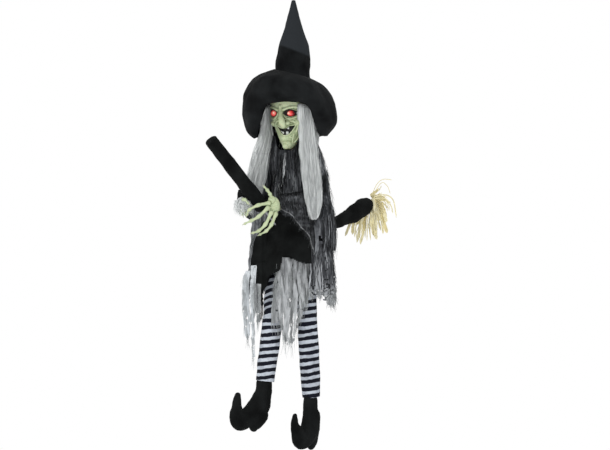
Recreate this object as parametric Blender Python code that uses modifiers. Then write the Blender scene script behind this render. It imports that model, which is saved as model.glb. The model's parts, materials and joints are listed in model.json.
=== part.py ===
"""A hanging witch figure that rides a broom: a jointed decoration, 1.5 m from toe to hat tip.

Every mesh is laid out in figure coordinates, in metres: X to her left, Y behind her and Z the
height above her lowest sole. The figure empty hangs them all from the eye above her hat, and
each moving piece is parented to an empty on its joint's axis.
"""

import math

import bmesh
import bpy
from mathutils import Matrix, Vector

GAP = 0.0003                     # between pieces that touch
ROD_R = 0.0025                   # spine rod
EYE_H, EYE_MAJOR, EYE_WIRE = 1.515, 0.0085, 0.0015
HANG_H = EYE_H + EYE_MAJOR - EYE_WIRE   # inner top of the hanging eye, the part's origin

HEAD_Y = -0.025                  # centre of the head and hat
HEAD_GEAR_H, HEAD_GEAR_T = 0.986, 0.006
HEAD_TEETH, HEAD_PINION_TEETH, HEAD_MODULE = 40, 10, 0.0012
HEAD_MOTOR_Y = HEAD_MODULE * (HEAD_TEETH + HEAD_PINION_TEETH) / 2
HAT_WALL = 0.0014
BRIM_WALL = 0.0025
BRIM_Y = -0.030
BRIM_TILT = 0.12                 # fall towards the lower side, for each metre across
BRIM_LOW_SIDE = math.radians(115)   # the way it falls, from the front towards her left
EYE_X, EYE_Y, EYE_CENTRE_H, EYE_R = 0.031, -0.0835, 1.120, 0.0155

HIP_X, HIP_H, HIP_HALF = -0.010, 0.635, 0.048
HIP_TEETH, TRAIN_TEETH, TRAIN_MODULE = 24, 12, 0.0015
FINE_TEETH, FINE_PINION_TEETH, FINE_MODULE = 36, 10, 0.0008
TRAIN_Y = TRAIN_MODULE * TRAIN_TEETH / 2
TRAIN_RISE = math.sqrt((TRAIN_MODULE * (HIP_TEETH + TRAIN_TEETH) / 2) ** 2 - TRAIN_Y ** 2)
TRAIN_H = HIP_H + TRAIN_RISE
PINION_H = TRAIN_H + FINE_MODULE * (FINE_TEETH + FINE_PINION_TEETH) / 2
BOX_HALF_X, BOX_HALF_Y, BOX_LOW, BOX_TOP = 0.027, 0.0275, 0.611, 0.722
BOX_WALL, BAY_TOP = 0.0025, 0.692
AXLE_R, STUB_R = 0.004, 0.0025
KNEE_PIN_R = 0.003

KNEES = {"left": Vector((0.048, 0.006, 0.435)), "right": Vector((-0.0435, -0.068, 0.447))}
ANKLES = {"left": Vector((0.055, 0.022, 0.177)), "right": Vector((-0.067, -0.078, 0.232))}
SOLES = {"left": 0.0, "right": 0.064}
TOE_TURN = {"left": math.radians(12), "right": math.radians(35)}   # each toe, to her right
LEG_R = 0.033

BROOM_FRONT = (Vector((-0.016, -0.050, 0.720)), Vector((-0.142, -0.330, 1.027)))
BROOM_REAR = (Vector((0.0227, 0.030, 0.710)), Vector((0.151, 0.280, 0.827)))
BROOM_ROD_R = 0.004
SOCKET_R = 0.0085

ELBOWS = {"left": Vector((0.115, -0.030, 0.790)), "right": Vector((-0.132, -0.032, 0.800))}
WRISTS = {"left": Vector((0.003, -0.124, 0.807)), "right": Vector((-0.125, -0.118, 0.838))}

# The robe's outline: height, half-width, half-depth.
ROBE = ((0.975, 0.051, 0.052), (0.955, 0.058, 0.054), (0.930, 0.060, 0.056), (0.850, 0.066, 0.060),
        (0.790, 0.076, 0.066), (0.757, 0.088, 0.072), (0.735, 0.104, 0.080), (0.700, 0.122, 0.090),
        (0.640, 0.132, 0.098), (0.550, 0.137, 0.104), (0.470, 0.139, 0.106))
SKIRT_TOP, SKIRT_HEM, SKIRT_WALL = 0.756, 0.470, 0.003
APRON_TOP, APRON_LONG, APRON_OUT = 0.760, 0.150, 0.012
RAGS_TOP, RAGS_LONG = 0.640, 0.285
# The head: height, half-width, depth in front of and behind HEAD_Y.
HEAD = ((1.215, 0.016, 0.016, 0.020), (1.205, 0.035, 0.040, 0.048), (1.190, 0.050, 0.062, 0.066),
        (1.165, 0.060, 0.075, 0.078), (1.140, 0.063, 0.078, 0.080), (1.120, 0.062, 0.077, 0.080),
        (1.100, 0.060, 0.077, 0.076), (1.080, 0.056, 0.075, 0.070), (1.063, 0.050, 0.072, 0.066),
        (1.040, 0.041, 0.076, 0.062), (1.020, 0.032, 0.073, 0.060), (1.009, 0.026, 0.062, 0.058),
        (1.001, 0.023, 0.048, 0.057))
FACE_SHIFT = 0.012               # how far the crooked lower face sits towards her left
SKIN_WALL = 0.0025
MOUTH_H = 1.063
HAIR_TOP, HAIR_WALL = 1.150, 0.005

# The battery bay on her back: three upright cells.
CELL_R, CELL_LONG, CELL_PITCH = 0.00725, 0.0505, 0.0152
BATTERY_LOW, BATTERY_TOP = 0.800, 0.858
BATTERY_HALF_X, BATTERY_FRONT, BATTERY_BACK = 0.025, 0.0080, 0.0285
DOOR_T = 0.0018


def clear_scene():
    for obj in list(bpy.data.objects):
        bpy.data.objects.remove(obj)


def new_collection(name, hidden=False):
    made = bpy.data.collections.new(name)
    bpy.context.scene.collection.children.link(made)
    made.hide_render = hidden
    return made


def material(name, colour, roughness, metallic=0.0):
    made = bpy.data.materials.new(name)
    made.use_nodes = True
    made.diffuse_color = (*colour, 1.0)
    shader = made.node_tree.nodes["Principled BSDF"]
    shader.inputs["Base Color"].default_value = (*colour, 1.0)
    shader.inputs["Roughness"].default_value = roughness
    shader.inputs["Metallic"].default_value = metallic
    return made


def empty(name, place, parent=None):
    made = bpy.data.objects.new(name, None)
    bpy.context.scene.collection.objects.link(made)
    made.location = place
    made.parent = parent
    return made


def mesh_from(bm):
    bmesh.ops.recalc_face_normals(bm, faces=bm.faces)
    mesh = bpy.data.meshes.new("shape")
    bm.to_mesh(mesh)
    bm.free()
    return mesh


def box(low, high):
    """A box between two corners."""
    bm = bmesh.new()
    low, high = Vector(low), Vector(high)
    size = Matrix.Diagonal((*(high - low), 1.0))
    bmesh.ops.create_cube(bm, size=1.0, matrix=Matrix.Translation((low + high) / 2) @ size)
    return mesh_from(bm)


def along(start, end):
    """The matrix that stands +Z along start to end, from their middle."""
    turn = (end - start).to_track_quat("Z", "Y").to_matrix().to_4x4()
    return Matrix.Translation((start + end) / 2) @ turn


def rod(start, end, radius, end_radius=None, sides=12):
    """A cylinder or cone between two points."""
    start, end = Vector(start), Vector(end)
    bm = bmesh.new()
    bmesh.ops.create_cone(bm, cap_ends=True, segments=sides, radius1=radius,
                          radius2=radius if end_radius is None else end_radius,
                          depth=(end - start).length, matrix=along(start, end))
    return mesh_from(bm)


def ball(centre, radii, sides=12):
    bm = bmesh.new()
    size = Matrix.Diagonal((*radii, 1.0))
    bmesh.ops.create_uvsphere(bm, u_segments=sides, v_segments=sides // 2 + 1, radius=1.0,
                              matrix=Matrix.Translation(centre) @ size)
    return mesh_from(bm)


def converted(data):
    """A curve's evaluated mesh, welded, with the curve removed."""
    obj = bpy.data.objects.new("curve", data)
    bpy.context.scene.collection.objects.link(obj)
    bpy.context.view_layer.update()
    graph = bpy.context.evaluated_depsgraph_get()
    mesh = bpy.data.meshes.new_from_object(obj.evaluated_get(graph))
    bpy.data.objects.remove(obj)
    bm = bmesh.new()
    bm.from_mesh(mesh)
    bmesh.ops.remove_doubles(bm, verts=bm.verts, dist=1e-6)
    return mesh_from(bm)


def wire(points, radius, radii=None):
    """A bent wire through the points, or a finger whose radius changes from point to point."""
    data = bpy.data.curves.new("wire", "CURVE")
    data.dimensions = "3D"
    data.bevel_depth = radius
    data.bevel_resolution = 2
    data.use_fill_caps = True
    spline = data.splines.new("POLY")
    spline.points.add(len(points) - 1)
    for index, point in enumerate(points):
        spline.points[index].co = (*point, 1.0)
        spline.points[index].radius = 1.0 if radii is None else radii[index] / radius
    return converted(data)


def add_loop(data, points):
    spline = data.splines.new("POLY")
    spline.points.add(len(points) - 1)
    for target, (x, y) in zip(spline.points, points):
        target.co = (x, y, 0.0, 1.0)
    spline.use_cyclic_u = True


def plate(loops, thickness, matrix):
    """A flat outline, and any holes in it, extruded about its middle plane."""
    data = bpy.data.curves.new("outline", "CURVE")
    data.dimensions = "2D"
    data.fill_mode = "BOTH"
    data.extrude = thickness / 2
    for points in loops:
        add_loop(data, points)
    mesh = converted(data)
    mesh.transform(matrix)
    return mesh


def circle(radius, sides):
    turns = [math.tau * side / sides for side in range(sides)]
    return [(radius * math.cos(turn), radius * math.sin(turn)) for turn in turns]


def gear(teeth, module, thickness, matrix, phase=0.0, bore=0.0):
    """A spur gear about local Z. With phase at 0 a tooth points along local +X."""
    pitch = module * teeth / 2
    flank = ((-0.285, -1.2), (-0.12, 0.9), (0.12, 0.9), (0.285, -1.2))   # share of a tooth, modules
    outline = []
    for tooth in range(teeth):
        for share, rise in flank:
            angle = math.tau * (tooth + phase + share) / teeth
            radius = pitch + rise * module
            outline.append((radius * math.cos(angle), radius * math.sin(angle)))
    loops = [outline] + ([circle(bore, 20)] if bore else [])
    return plate(loops, thickness, matrix)


def loft(sections, closed=False):
    """A skin over rings of equally many points. Closed joins the last ring to the first."""
    bm = bmesh.new()
    rings = [[bm.verts.new(point) for point in section] for section in sections]
    pairs = list(zip(rings, rings[1:] + rings[:1])) if closed else list(zip(rings, rings[1:]))
    for lower, upper in pairs:
        for index in range(len(lower)):
            after = (index + 1) % len(lower)
            bm.faces.new((lower[index], lower[after], upper[after], upper[index]))
    if not closed:
        bm.faces.new(rings[0])
        bm.faces.new(rings[-1])
    return mesh_from(bm)


def grid(surface, across, down, around=False):
    """An open sheet through surface(u, v), with u and v from 0 to 1."""
    bm = bmesh.new()
    columns = across if around else across + 1
    rows = [[bm.verts.new(surface(column / across, row / down)) for column in range(columns)]
            for row in range(down + 1)]
    for upper, lower in zip(rows, rows[1:]):
        for column in range(across):
            after = (column + 1) % columns
            bm.faces.new((upper[column], upper[after], lower[after], lower[column]))
    return mesh_from(bm)


def ring(centre, direction, radius, sides):
    """Points round a centre, square to direction, starting on its +X side."""
    way = direction.normalized()
    across = (Vector((1.0, 0.0, 0.0)) - way * way.x).normalized()
    other = way.cross(across)
    turns = [math.tau * side / sides for side in range(sides)]
    return [centre + (across * math.cos(turn) + other * math.sin(turn)) * radius for turn in turns]


def limb(stations, sides=14, bore=0.0):
    """A round form through (centre, radius) stations, with a bore for what runs inside it."""
    centres = [centre for centre, _ in stations]
    outer, inner = [], []
    for index, (centre, radius) in enumerate(stations):
        before = centres[max(index - 1, 0)]
        after = centres[min(index + 1, len(centres) - 1)]
        outer.append(ring(centre, after - before, radius, sides))
        inner.append(ring(centre, after - before, bore, sides))
    return loft(outer + inner[::-1], closed=True) if bore else loft(outer)


def profile_at(table, height):
    """The row of a table of heights, running down, at one height."""
    for upper, lower in zip(table, table[1:]):
        if height >= lower[0]:
            share = max(0.0, min(1.0, (upper[0] - height) / (upper[0] - lower[0])))
            return [high + (low - high) * share for high, low in zip(upper[1:], lower[1:])]
    return list(table[-1][1:])


def robe_point(turn, height, out):
    """A point of the robe. Turn is 0 in front and grows to her left; out is outward."""
    half_width, half_depth = profile_at(ROBE, height)
    return Vector(((half_width + out) * math.sin(turn), -(half_depth + out) * math.cos(turn), height))


def face_shift(height):
    share = max(0.0, min(1.0, (EYE_CENTRE_H - height) / 0.05))
    return FACE_SHIFT * share * share * (3 - 2 * share)


def nose_rise(x, height):
    """How far the hooked nose stands out of the face."""
    tip, bridge = 1.078, 1.128
    if height > bridge or height < tip - 0.012:
        return 0.0
    share = (bridge - height) / (bridge - tip) if height > tip else 1 - (tip - height) / 0.012
    width = 0.007 + 0.008 * share
    return 0.026 * share * math.exp(-(x / width) ** 2)


def head_point(turn, height, inset=0.0):
    """A point of the head. Turn is 0 in front and grows to her left."""
    half_width, front, back = profile_at(HEAD, height)
    depth = front if math.cos(turn) > 0 else back
    x = (half_width - inset) * math.sin(turn)
    y = HEAD_Y - (depth - inset) * math.cos(turn)
    if math.cos(turn) > 0:
        y -= nose_rise(x, height)
    shift = face_shift(height) * max(0.0, math.cos(turn)) ** 0.5
    return Vector((x + shift, y, height))


class Bench:
    """Adds finished nodes and their hidden cutters, each under the empty that it moves with."""

    def __init__(self):
        self.parts = new_collection("animated_witch_figure")
        self.cutters = new_collection("cutters", hidden=True)
        self.figure = empty("figure", (0.0, 0.0, -HANG_H))
        self.pivots = {"root": self.figure}

    def pivot(self, name, place, parent="root"):
        above = self.pivots[parent]
        base = Vector((0.0, 0.0, 0.0)) if parent == "root" else above["figure_place"]
        made = empty(name + "_pivot", Vector(place) - Vector(base), above)
        made["figure_place"] = list(place)
        self.pivots[name] = made

    def attach(self, obj, pivot):
        parent = self.pivots[pivot]
        obj.parent = parent
        if pivot != "root":
            obj.location = -Vector(parent["figure_place"])

    def cutter(self, name, mesh, pivot):
        obj = bpy.data.objects.new(name, mesh)
        self.cutters.objects.link(obj)
        obj.hide_render = True
        obj.display_type = "WIRE"
        self.attach(obj, pivot)
        return obj

    def node(self, name, look, mesh, pivot="root", join=(), cut=(), wall=0.0, bevel=0.0):
        obj = bpy.data.objects.new(name, mesh)
        self.parts.objects.link(obj)
        mesh.name = name
        mesh.materials.append(look)
        self.attach(obj, pivot)
        if wall:
            shell = obj.modifiers.new("wall", "SOLIDIFY")
            shell.thickness = abs(wall)
            shell.offset = -1.0 if wall > 0 else 1.0
            shell.use_even_offset = False
        if bevel:
            edge = obj.modifiers.new("edges", "BEVEL")
            edge.width = bevel
            edge.segments = 1
            edge.limit_method = "ANGLE"
        for operation, shapes in (("UNION", join), ("DIFFERENCE", cut)):
            for index, shape in enumerate(shapes):
                helper = self.cutter(f"{name}_{operation.lower()}_{index}", shape, pivot)
                boolean = obj.modifiers.new(operation.lower(), "BOOLEAN")
                boolean.operation = operation
                boolean.object = helper
                boolean.solver = "EXACT"
        mesh.shade_smooth()
        mesh.set_sharp_from_angle(angle=math.radians(35))
        return obj


def turned(profile, matrix, sides=16):
    """A closed (radius, height) profile turned about local Z."""
    mesh = bpy.data.meshes.new("profile")
    ends = [(index, (index + 1) % len(profile)) for index in range(len(profile))]
    mesh.from_pydata([(radius, 0.0, height) for radius, height in profile], ends, [])
    obj = bpy.data.objects.new("profile", mesh)
    bpy.context.scene.collection.objects.link(obj)
    screw = obj.modifiers.new("turn", "SCREW")
    screw.steps = screw.render_steps = sides
    screw.use_merge_vertices = True
    screw.merge_threshold = 1e-5
    bpy.context.view_layer.update()
    shape = bpy.data.meshes.new_from_object(obj.evaluated_get(bpy.context.evaluated_depsgraph_get()))
    bpy.data.objects.remove(obj)
    bm = bmesh.new()
    bm.from_mesh(shape)
    bmesh.ops.remove_doubles(bm, verts=bm.verts, dist=1e-6)
    made = mesh_from(bm)
    made.transform(matrix)
    return made


def eye_ring():
    bpy.ops.mesh.primitive_torus_add(major_radius=EYE_MAJOR, minor_radius=EYE_WIRE,
                                     major_segments=16, minor_segments=6,
                                     rotation=(math.pi / 2, 0.0, 0.0))
    obj = bpy.context.object
    mesh = obj.data
    mesh.transform(Matrix.Translation((0.0, 0.0, EYE_H)) @ Matrix.Rotation(math.pi / 2, 4, "X"))
    bpy.data.objects.remove(obj)
    return mesh


def upright(radius, low, high, x=0.0, y=0.0, sides=12):
    return rod((x, y, low), (x, y, high), radius, sides=sides)


def crosswise(radius, start_x, end_x, y, height, sides=12):
    return rod((start_x, y, height), (end_x, y, height), radius, sides=sides)


def spine(bench, looks):
    """The rod that carries everything, with the eye's collar crimped on its top."""
    collar_low, collar_top, rod_top = 1.4998, 1.5078, 1.5052
    bench.node("hanging_eye", looks["steel"], eye_ring(), join=[upright(0.0036, collar_low, collar_top)],
               cut=[upright(ROD_R + GAP, collar_low - 0.01, rod_top + GAP)])
    bench.node("spine_rod", looks["steel"], upright(ROD_R, 0.7035, rod_top))


def shoulders(bench, looks):
    """The yoke on the spine rod, its motor shelf, and the bendable wire through both arms."""
    shelf_low, shelf_top = 0.9785, 0.9810
    bar = box((-0.046, -0.008, 0.945), (0.046, 0.008, 0.965))
    post = box((-0.012, -0.0079, 0.9451), (0.012, 0.0079, shelf_top - 0.0001))
    shelf = box((-0.014, -0.009, shelf_low), (0.014, HEAD_MOTOR_Y + 0.014, shelf_top))
    bench.node("shoulder_yoke", looks["black_plastic"], bar, join=[post, shelf],
               cut=[upright(ROD_R + GAP, 0.93, 0.99), upright(0.0021, 0.97, 0.99, y=HEAD_MOTOR_Y)])
    half = [(0.050, 0.0105, 0.956), (0.070, 0.0085, 0.956), (0.088, 0.002, 0.950),
            (0.094, -0.004, 0.925)]
    left = [Vector(point) for point in half] + [ELBOWS["left"], WRISTS["left"]]
    right = [Vector((-x, y, height)) for x, y, height in half] + [ELBOWS["right"], WRISTS["right"]]
    for arm in (left, right):
        back = (arm[-2] - arm[-1]).normalized()
        arm[-1] = arm[-1] + back * 0.004
    bench.node("arm_wire", looks["steel"], wire(right[::-1] + left, 0.002))
    return {"left": left, "right": right}


def head_drive(bench, looks):
    gear_low, gear_top = HEAD_GEAR_H, HEAD_GEAR_H + HEAD_GEAR_T
    middle = Matrix.Translation((0.0, 0.0, (gear_low + gear_top) / 2))
    bench.node("head_thrust_collar", looks["brass"], turned(
        ((ROD_R + GAP, 0.9813), (0.006, 0.9813), (0.006, gear_low - GAP), (ROD_R + GAP, gear_low - GAP)),
        Matrix.Identity(4)))
    hub = turned(((0.0032, gear_low + 0.001), (0.009, gear_low + 0.001), (0.009, 1.016), (0.0032, 1.016)),
                 Matrix.Identity(4))
    wheel = gear(HEAD_TEETH, HEAD_MODULE, HEAD_GEAR_T, middle, bore=0.0031)
    bench.node("head_gear", looks["white_plastic"], wheel, "head", join=[hub])
    phase = meshing(0.0, HEAD_TEETH, HEAD_PINION_TEETH, math.pi / 2)
    place = Matrix.Translation((0.0, HEAD_MOTOR_Y, 0.0)) @ middle
    pinion = gear(HEAD_PINION_TEETH, HEAD_MODULE, HEAD_GEAR_T, place, phase)
    shaft = upright(0.0015, 0.9786, gear_low + 0.002, y=HEAD_MOTOR_Y)
    bench.node("head_pinion", looks["brass"], pinion, "head_pinion", join=[shaft])
    can = turned(((0.0, 0.9402), (0.011, 0.9402), (0.012, 0.9412), (0.012, 0.9772), (0.011, 0.9782),
                  (0.0, 0.9782)), Matrix.Translation((0.0, HEAD_MOTOR_Y, 0.0)))
    bench.node("head_motor", looks["steel"], can)


def meshing(turn, teeth, other_teeth, direction):
    """The turn of a gear that meshes with one at the given direction from its centre."""
    lead = turn - direction / math.tau * teeth
    return (direction + math.pi) / math.tau * other_teeth + 0.5 - lead


def torso(bench, looks):
    def foam(u, v):
        turn = math.tau * u
        return Vector((0.052 * math.sin(turn), -0.046 * math.cos(turn), 0.930 - 0.155 * v))

    bench.node("torso_foam", looks["foam"], grid(foam, 18, 2, around=True), wall=0.006)
    bench.node("circuit_board", looks["board"], box((-0.020, -0.0122, 0.800), (0.020, -0.0106, 0.850)))
    face = Matrix.Translation((0.0, -0.020, 0.885)) @ Matrix.Rotation(math.pi / 2, 4, "X")
    bench.node("speaker", looks["black_plastic"], turned(
        ((0.0, -0.008), (0.009, -0.008), (0.009, -0.002), (0.018, 0.004), (0.020, 0.004),
         (0.020, 0.006), (0.017, 0.006), (0.006, 0.000), (0.0, 0.001)), face))


def battery_bay(bench, looks):
    wall = 0.0015
    case = box((-BATTERY_HALF_X, BATTERY_FRONT, BATTERY_LOW), (BATTERY_HALF_X, BATTERY_BACK, BATTERY_TOP))
    bay = box((wall - BATTERY_HALF_X, BATTERY_FRONT + wall, BATTERY_LOW + wall),
              (BATTERY_HALF_X - wall, BATTERY_BACK + 0.01, BATTERY_TOP - wall))
    clip = box((-0.006, -0.006, 0.838), (0.006, BATTERY_FRONT + 0.001, 0.850))
    bench.node("battery_box", looks["black_plastic"], case, join=[clip],
               cut=[bay, upright(ROD_R + GAP, 0.83, 0.86)])
    middle_y = BATTERY_FRONT + wall + CELL_R + 0.001
    low = BATTERY_LOW + wall + 0.001
    for number in range(3):
        x = (number - 1) * CELL_PITCH
        cell = turned(((0.0, 0.0), (CELL_R, 0.0), (CELL_R, CELL_LONG - 0.002), (0.0027, CELL_LONG - 0.002),
                       (0.0027, CELL_LONG), (0.0, CELL_LONG)), Matrix.Translation((x, middle_y, low)), 16)
        bench.node(f"battery_{number + 1}", looks["cell"], cell)
    bench.node("battery_door", looks["black_plastic"],
               box((0.001 - BATTERY_HALF_X, BATTERY_BACK + GAP, BATTERY_LOW + 0.001),
                   (BATTERY_HALF_X - 0.001, BATTERY_BACK + GAP + DOOR_T, BATTERY_TOP - 0.001)),
               "battery_door", bevel=0.0004,
               join=[box((-0.008, BATTERY_BACK + 0.001, BATTERY_LOW + 0.004),
                         (0.008, BATTERY_BACK + GAP + DOOR_T + 0.0015, BATTERY_LOW + 0.007))])
    bench.node("power_switch", looks["white_plastic"],
               box((-BATTERY_HALF_X - 0.0038, 0.0155, 0.814), (-BATTERY_HALF_X - GAP, 0.0195, 0.820)),
               "power_switch")


def drive_box(bench, looks):
    """Two halves that meet at Y 0, with the spine and broom sockets moulded in their solid top."""
    low_x, high_x = HIP_X - BOX_HALF_X, HIP_X + BOX_HALF_X
    inner = BOX_HALF_Y - BOX_WALL
    sockets = {"front": (BROOM_FRONT, -0.030, 0.010, -0.020), "rear": (BROOM_REAR, -0.010, 0.012, -0.004)}
    for side, sign in (("front", -1.0), ("rear", 1.0)):
        near, far = sorted((sign * GAP / 2, sign * BOX_HALF_Y))
        half = box((low_x, near, BOX_LOW), (high_x, far, BOX_TOP))
        bay = box((low_x + BOX_WALL, -inner, BOX_LOW + BOX_WALL), (high_x - BOX_WALL, inner, BAY_TOP))
        hips = crosswise(AXLE_R + GAP, low_x - 0.01, high_x + 0.01, 0.0, HIP_H, 24)
        wall_x = high_x if side == "front" else low_x
        stub = crosswise(STUB_R + GAP, wall_x - 0.006, wall_x + 0.006, sign * TRAIN_Y, TRAIN_H, 24)
        (start, end), socket_from, socket_to, bore_from = sockets[side]
        way = (end - start).normalized()
        socket = rod(start + way * socket_from, start + way * socket_to, SOCKET_R)
        bore = rod(start + way * bore_from, start + way * 0.03, BROOM_ROD_R + GAP)
        bench.node(f"drive_box_{side}", looks["black_plastic"], half, join=[socket],
                   cut=[bay, hips, stub, bore, upright(ROD_R + GAP, 0.7030, 0.73)])


def kick_train(bench, looks):
    """Motor pinion, drive gear, idler gear and the two hip gears, all about axles along X."""
    axle_turn = Matrix(((0, 0, 1, 0), (1, 0, 0, 0), (0, 1, 0, 0), (0, 0, 0, 1)))

    def place(x, y, height):
        return Matrix.Translation((HIP_X + x, y, height)) @ axle_turn

    up_to_drive = math.atan2(TRAIN_RISE, -TRAIN_Y)
    left_turn = up_to_drive / math.tau * HIP_TEETH
    drive_turn = meshing(left_turn, HIP_TEETH, TRAIN_TEETH, up_to_drive)
    idler_turn = meshing(drive_turn, TRAIN_TEETH, TRAIN_TEETH, 0.0)
    right_turn = meshing(idler_turn, TRAIN_TEETH, HIP_TEETH, math.atan2(-TRAIN_RISE, -TRAIN_Y))
    for side, sign, turn in (("left", 1, left_turn), ("right", -1, right_turn)):
        wheel = gear(HIP_TEETH, TRAIN_MODULE, 0.006, place(sign * 0.011, 0.0, HIP_H), turn)
        axle = crosswise(AXLE_R, HIP_X + sign * 0.009, HIP_X + sign * 0.0470, 0.0, HIP_H, 24)
        bench.node(f"hip_gear_{side}", looks["white_plastic"], wheel, f"{side}_kick", join=[axle])
    drive = gear(TRAIN_TEETH, TRAIN_MODULE, 0.018, place(0.005, -TRAIN_Y, TRAIN_H), drive_turn)
    fine = gear(FINE_TEETH, FINE_MODULE, 0.004, place(0.018, -TRAIN_Y, TRAIN_H))
    stub = crosswise(STUB_R, HIP_X + 0.012, HIP_X + BOX_HALF_X, -TRAIN_Y, TRAIN_H, 24)
    bench.node("drive_gear", looks["white_plastic"], drive, "drive_gear", join=[fine, stub])
    idler = gear(TRAIN_TEETH, TRAIN_MODULE, 0.018, place(-0.005, TRAIN_Y, TRAIN_H), idler_turn)
    stub = crosswise(STUB_R, HIP_X - 0.012, HIP_X - BOX_HALF_X, TRAIN_Y, TRAIN_H, 24)
    bench.node("idler_gear", looks["white_plastic"], idler, "idler_gear", join=[stub])
    turn = meshing(0.0, FINE_TEETH, FINE_PINION_TEETH, math.pi / 2)
    pinion = gear(FINE_PINION_TEETH, FINE_MODULE, 0.004, place(0.018, -TRAIN_Y, PINION_H), turn)
    shaft = crosswise(0.0015, HIP_X - 0.0045, HIP_X + 0.018, -TRAIN_Y, PINION_H)
    bench.node("kick_pinion", looks["brass"], pinion, "kick_pinion", join=[shaft])
    can = turned(((0.0, 0.0), (0.009, 0.0), (0.010, 0.001), (0.010, 0.0175), (0.009, 0.0185), (0.0, 0.0185)),
                 place(-0.0235, -TRAIN_Y, PINION_H))
    bench.node("kick_motor", looks["steel"], can)


def broom(bench, looks):
    start, end = BROOM_FRONT
    way = (end - start).normalized()
    long = (end - start).length
    bench.node("broom_rod_front", looks["steel"], rod(start - way * 0.0195, end - way * 0.02, BROOM_ROD_R))
    felt = [(0.128, 0.022), (0.133, 0.026), (0.24, 0.0245), (0.38, 0.0225), (long - 0.004, 0.022),
            (long, 0.018)]
    bench.node("broom_sleeve_front", looks["black_felt"],
               limb([(start + way * at, radius) for at, radius in felt], bore=BROOM_ROD_R + GAP))
    start, end = BROOM_REAR
    way = (end - start).normalized()
    long = (end - start).length
    bench.node("broom_rod_rear", looks["steel"], rod(start - way * 0.0035, end - way * 0.001, BROOM_ROD_R))
    felt = [(0.045, 0.016), (0.05, 0.018), (0.10, 0.020), (0.20, 0.027), (0.28, 0.029), (long, 0.018)]
    bench.node("broom_sleeve_rear", looks["black_felt"],
               limb([(start + way * at, radius) for at, radius in felt], bore=BROOM_ROD_R + GAP))
    tuft = [(end + way * GAP * 2, 0.014), (end + way * 0.02, 0.022),
            (end + Vector((0.018, 0.036, -0.006)), 0.040), (end + Vector((0.026, 0.062, -0.030)), 0.052),
            (end + Vector((0.030, 0.080, -0.052)), 0.050)]
    bench.node("broom_bristles", looks["raffia"], limb(tuft))


def hand(bench, looks, name, wrist, palm, palm_size, fingers):
    """A bony hand, laid out in a frame turned 25 degrees from the figure's."""
    turn = Matrix.Rotation(math.radians(25), 4, "Z")
    pieces = [wire([turn.inverted() @ wrist, palm], 0.011, [0.009, 0.011])]
    pieces += [wire(points, 0.005, [0.0055] * (len(points) - 2) + [0.0045, 0.002]) for points in fingers]
    base = ball(palm, palm_size)
    for mesh in [base] + pieces:
        mesh.transform(turn)
    bench.node(name, looks["green_vinyl"], base, join=pieces)


def hands(bench, looks):
    """Two hands tied to the broom: the left one on its front, the right one behind it."""
    hand(bench, looks, "hand_left", WRISTS["left"], Vector((-0.070, -0.137, 0.818)), (0.023, 0.012, 0.026),
         [[(-0.078, -0.140, 0.838), (-0.086, -0.146, 0.858), (-0.091, -0.150, 0.867), (-0.098, -0.152, 0.876)],
          [(-0.085, -0.140, 0.815), (-0.122, -0.142, 0.813), (-0.143, -0.138, 0.803), (-0.149, -0.136, 0.788)],
          [(-0.085, -0.142, 0.806), (-0.103, -0.150, 0.786), (-0.134, -0.146, 0.762), (-0.164, -0.140, 0.752)],
          [(-0.078, -0.142, 0.802), (-0.084, -0.156, 0.768), (-0.106, -0.152, 0.740), (-0.130, -0.140, 0.725)],
          [(-0.062, -0.140, 0.798), (-0.066, -0.158, 0.760), (-0.088, -0.154, 0.732), (-0.112, -0.142, 0.718)]])
    hand(bench, looks, "hand_right", WRISTS["right"], Vector((-0.164, -0.100, 0.820)), (0.012, 0.020, 0.022),
         [[(-0.162, -0.104, 0.830), (-0.172, -0.128, 0.842), (-0.160, -0.150, 0.838), (-0.152, -0.158, 0.822)],
          [(-0.162, -0.108, 0.815), (-0.160, -0.128, 0.806), (-0.156, -0.140, 0.792), (-0.152, -0.142, 0.778)],
          [(-0.166, -0.104, 0.806), (-0.170, -0.116, 0.788), (-0.168, -0.124, 0.772), (-0.164, -0.126, 0.758)]])


def sleeves(bench, looks, arms):
    for side in ("left", "right"):
        arm = arms[side]
        shoulder, elbow, wrist = arm[3], arm[4], arm[5]
        cuff = elbow.lerp(wrist, 0.86)
        stations = [(shoulder, 0.024), (shoulder.lerp(elbow, 0.08), 0.028), (shoulder.lerp(elbow, 0.7), 0.029),
                    (elbow, 0.030), (elbow.lerp(wrist, 0.3), 0.026), (cuff, 0.020)]
        bench.node(f"sleeve_{side}", looks["gauze"], limb(stations, bore=0.0045))


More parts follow.
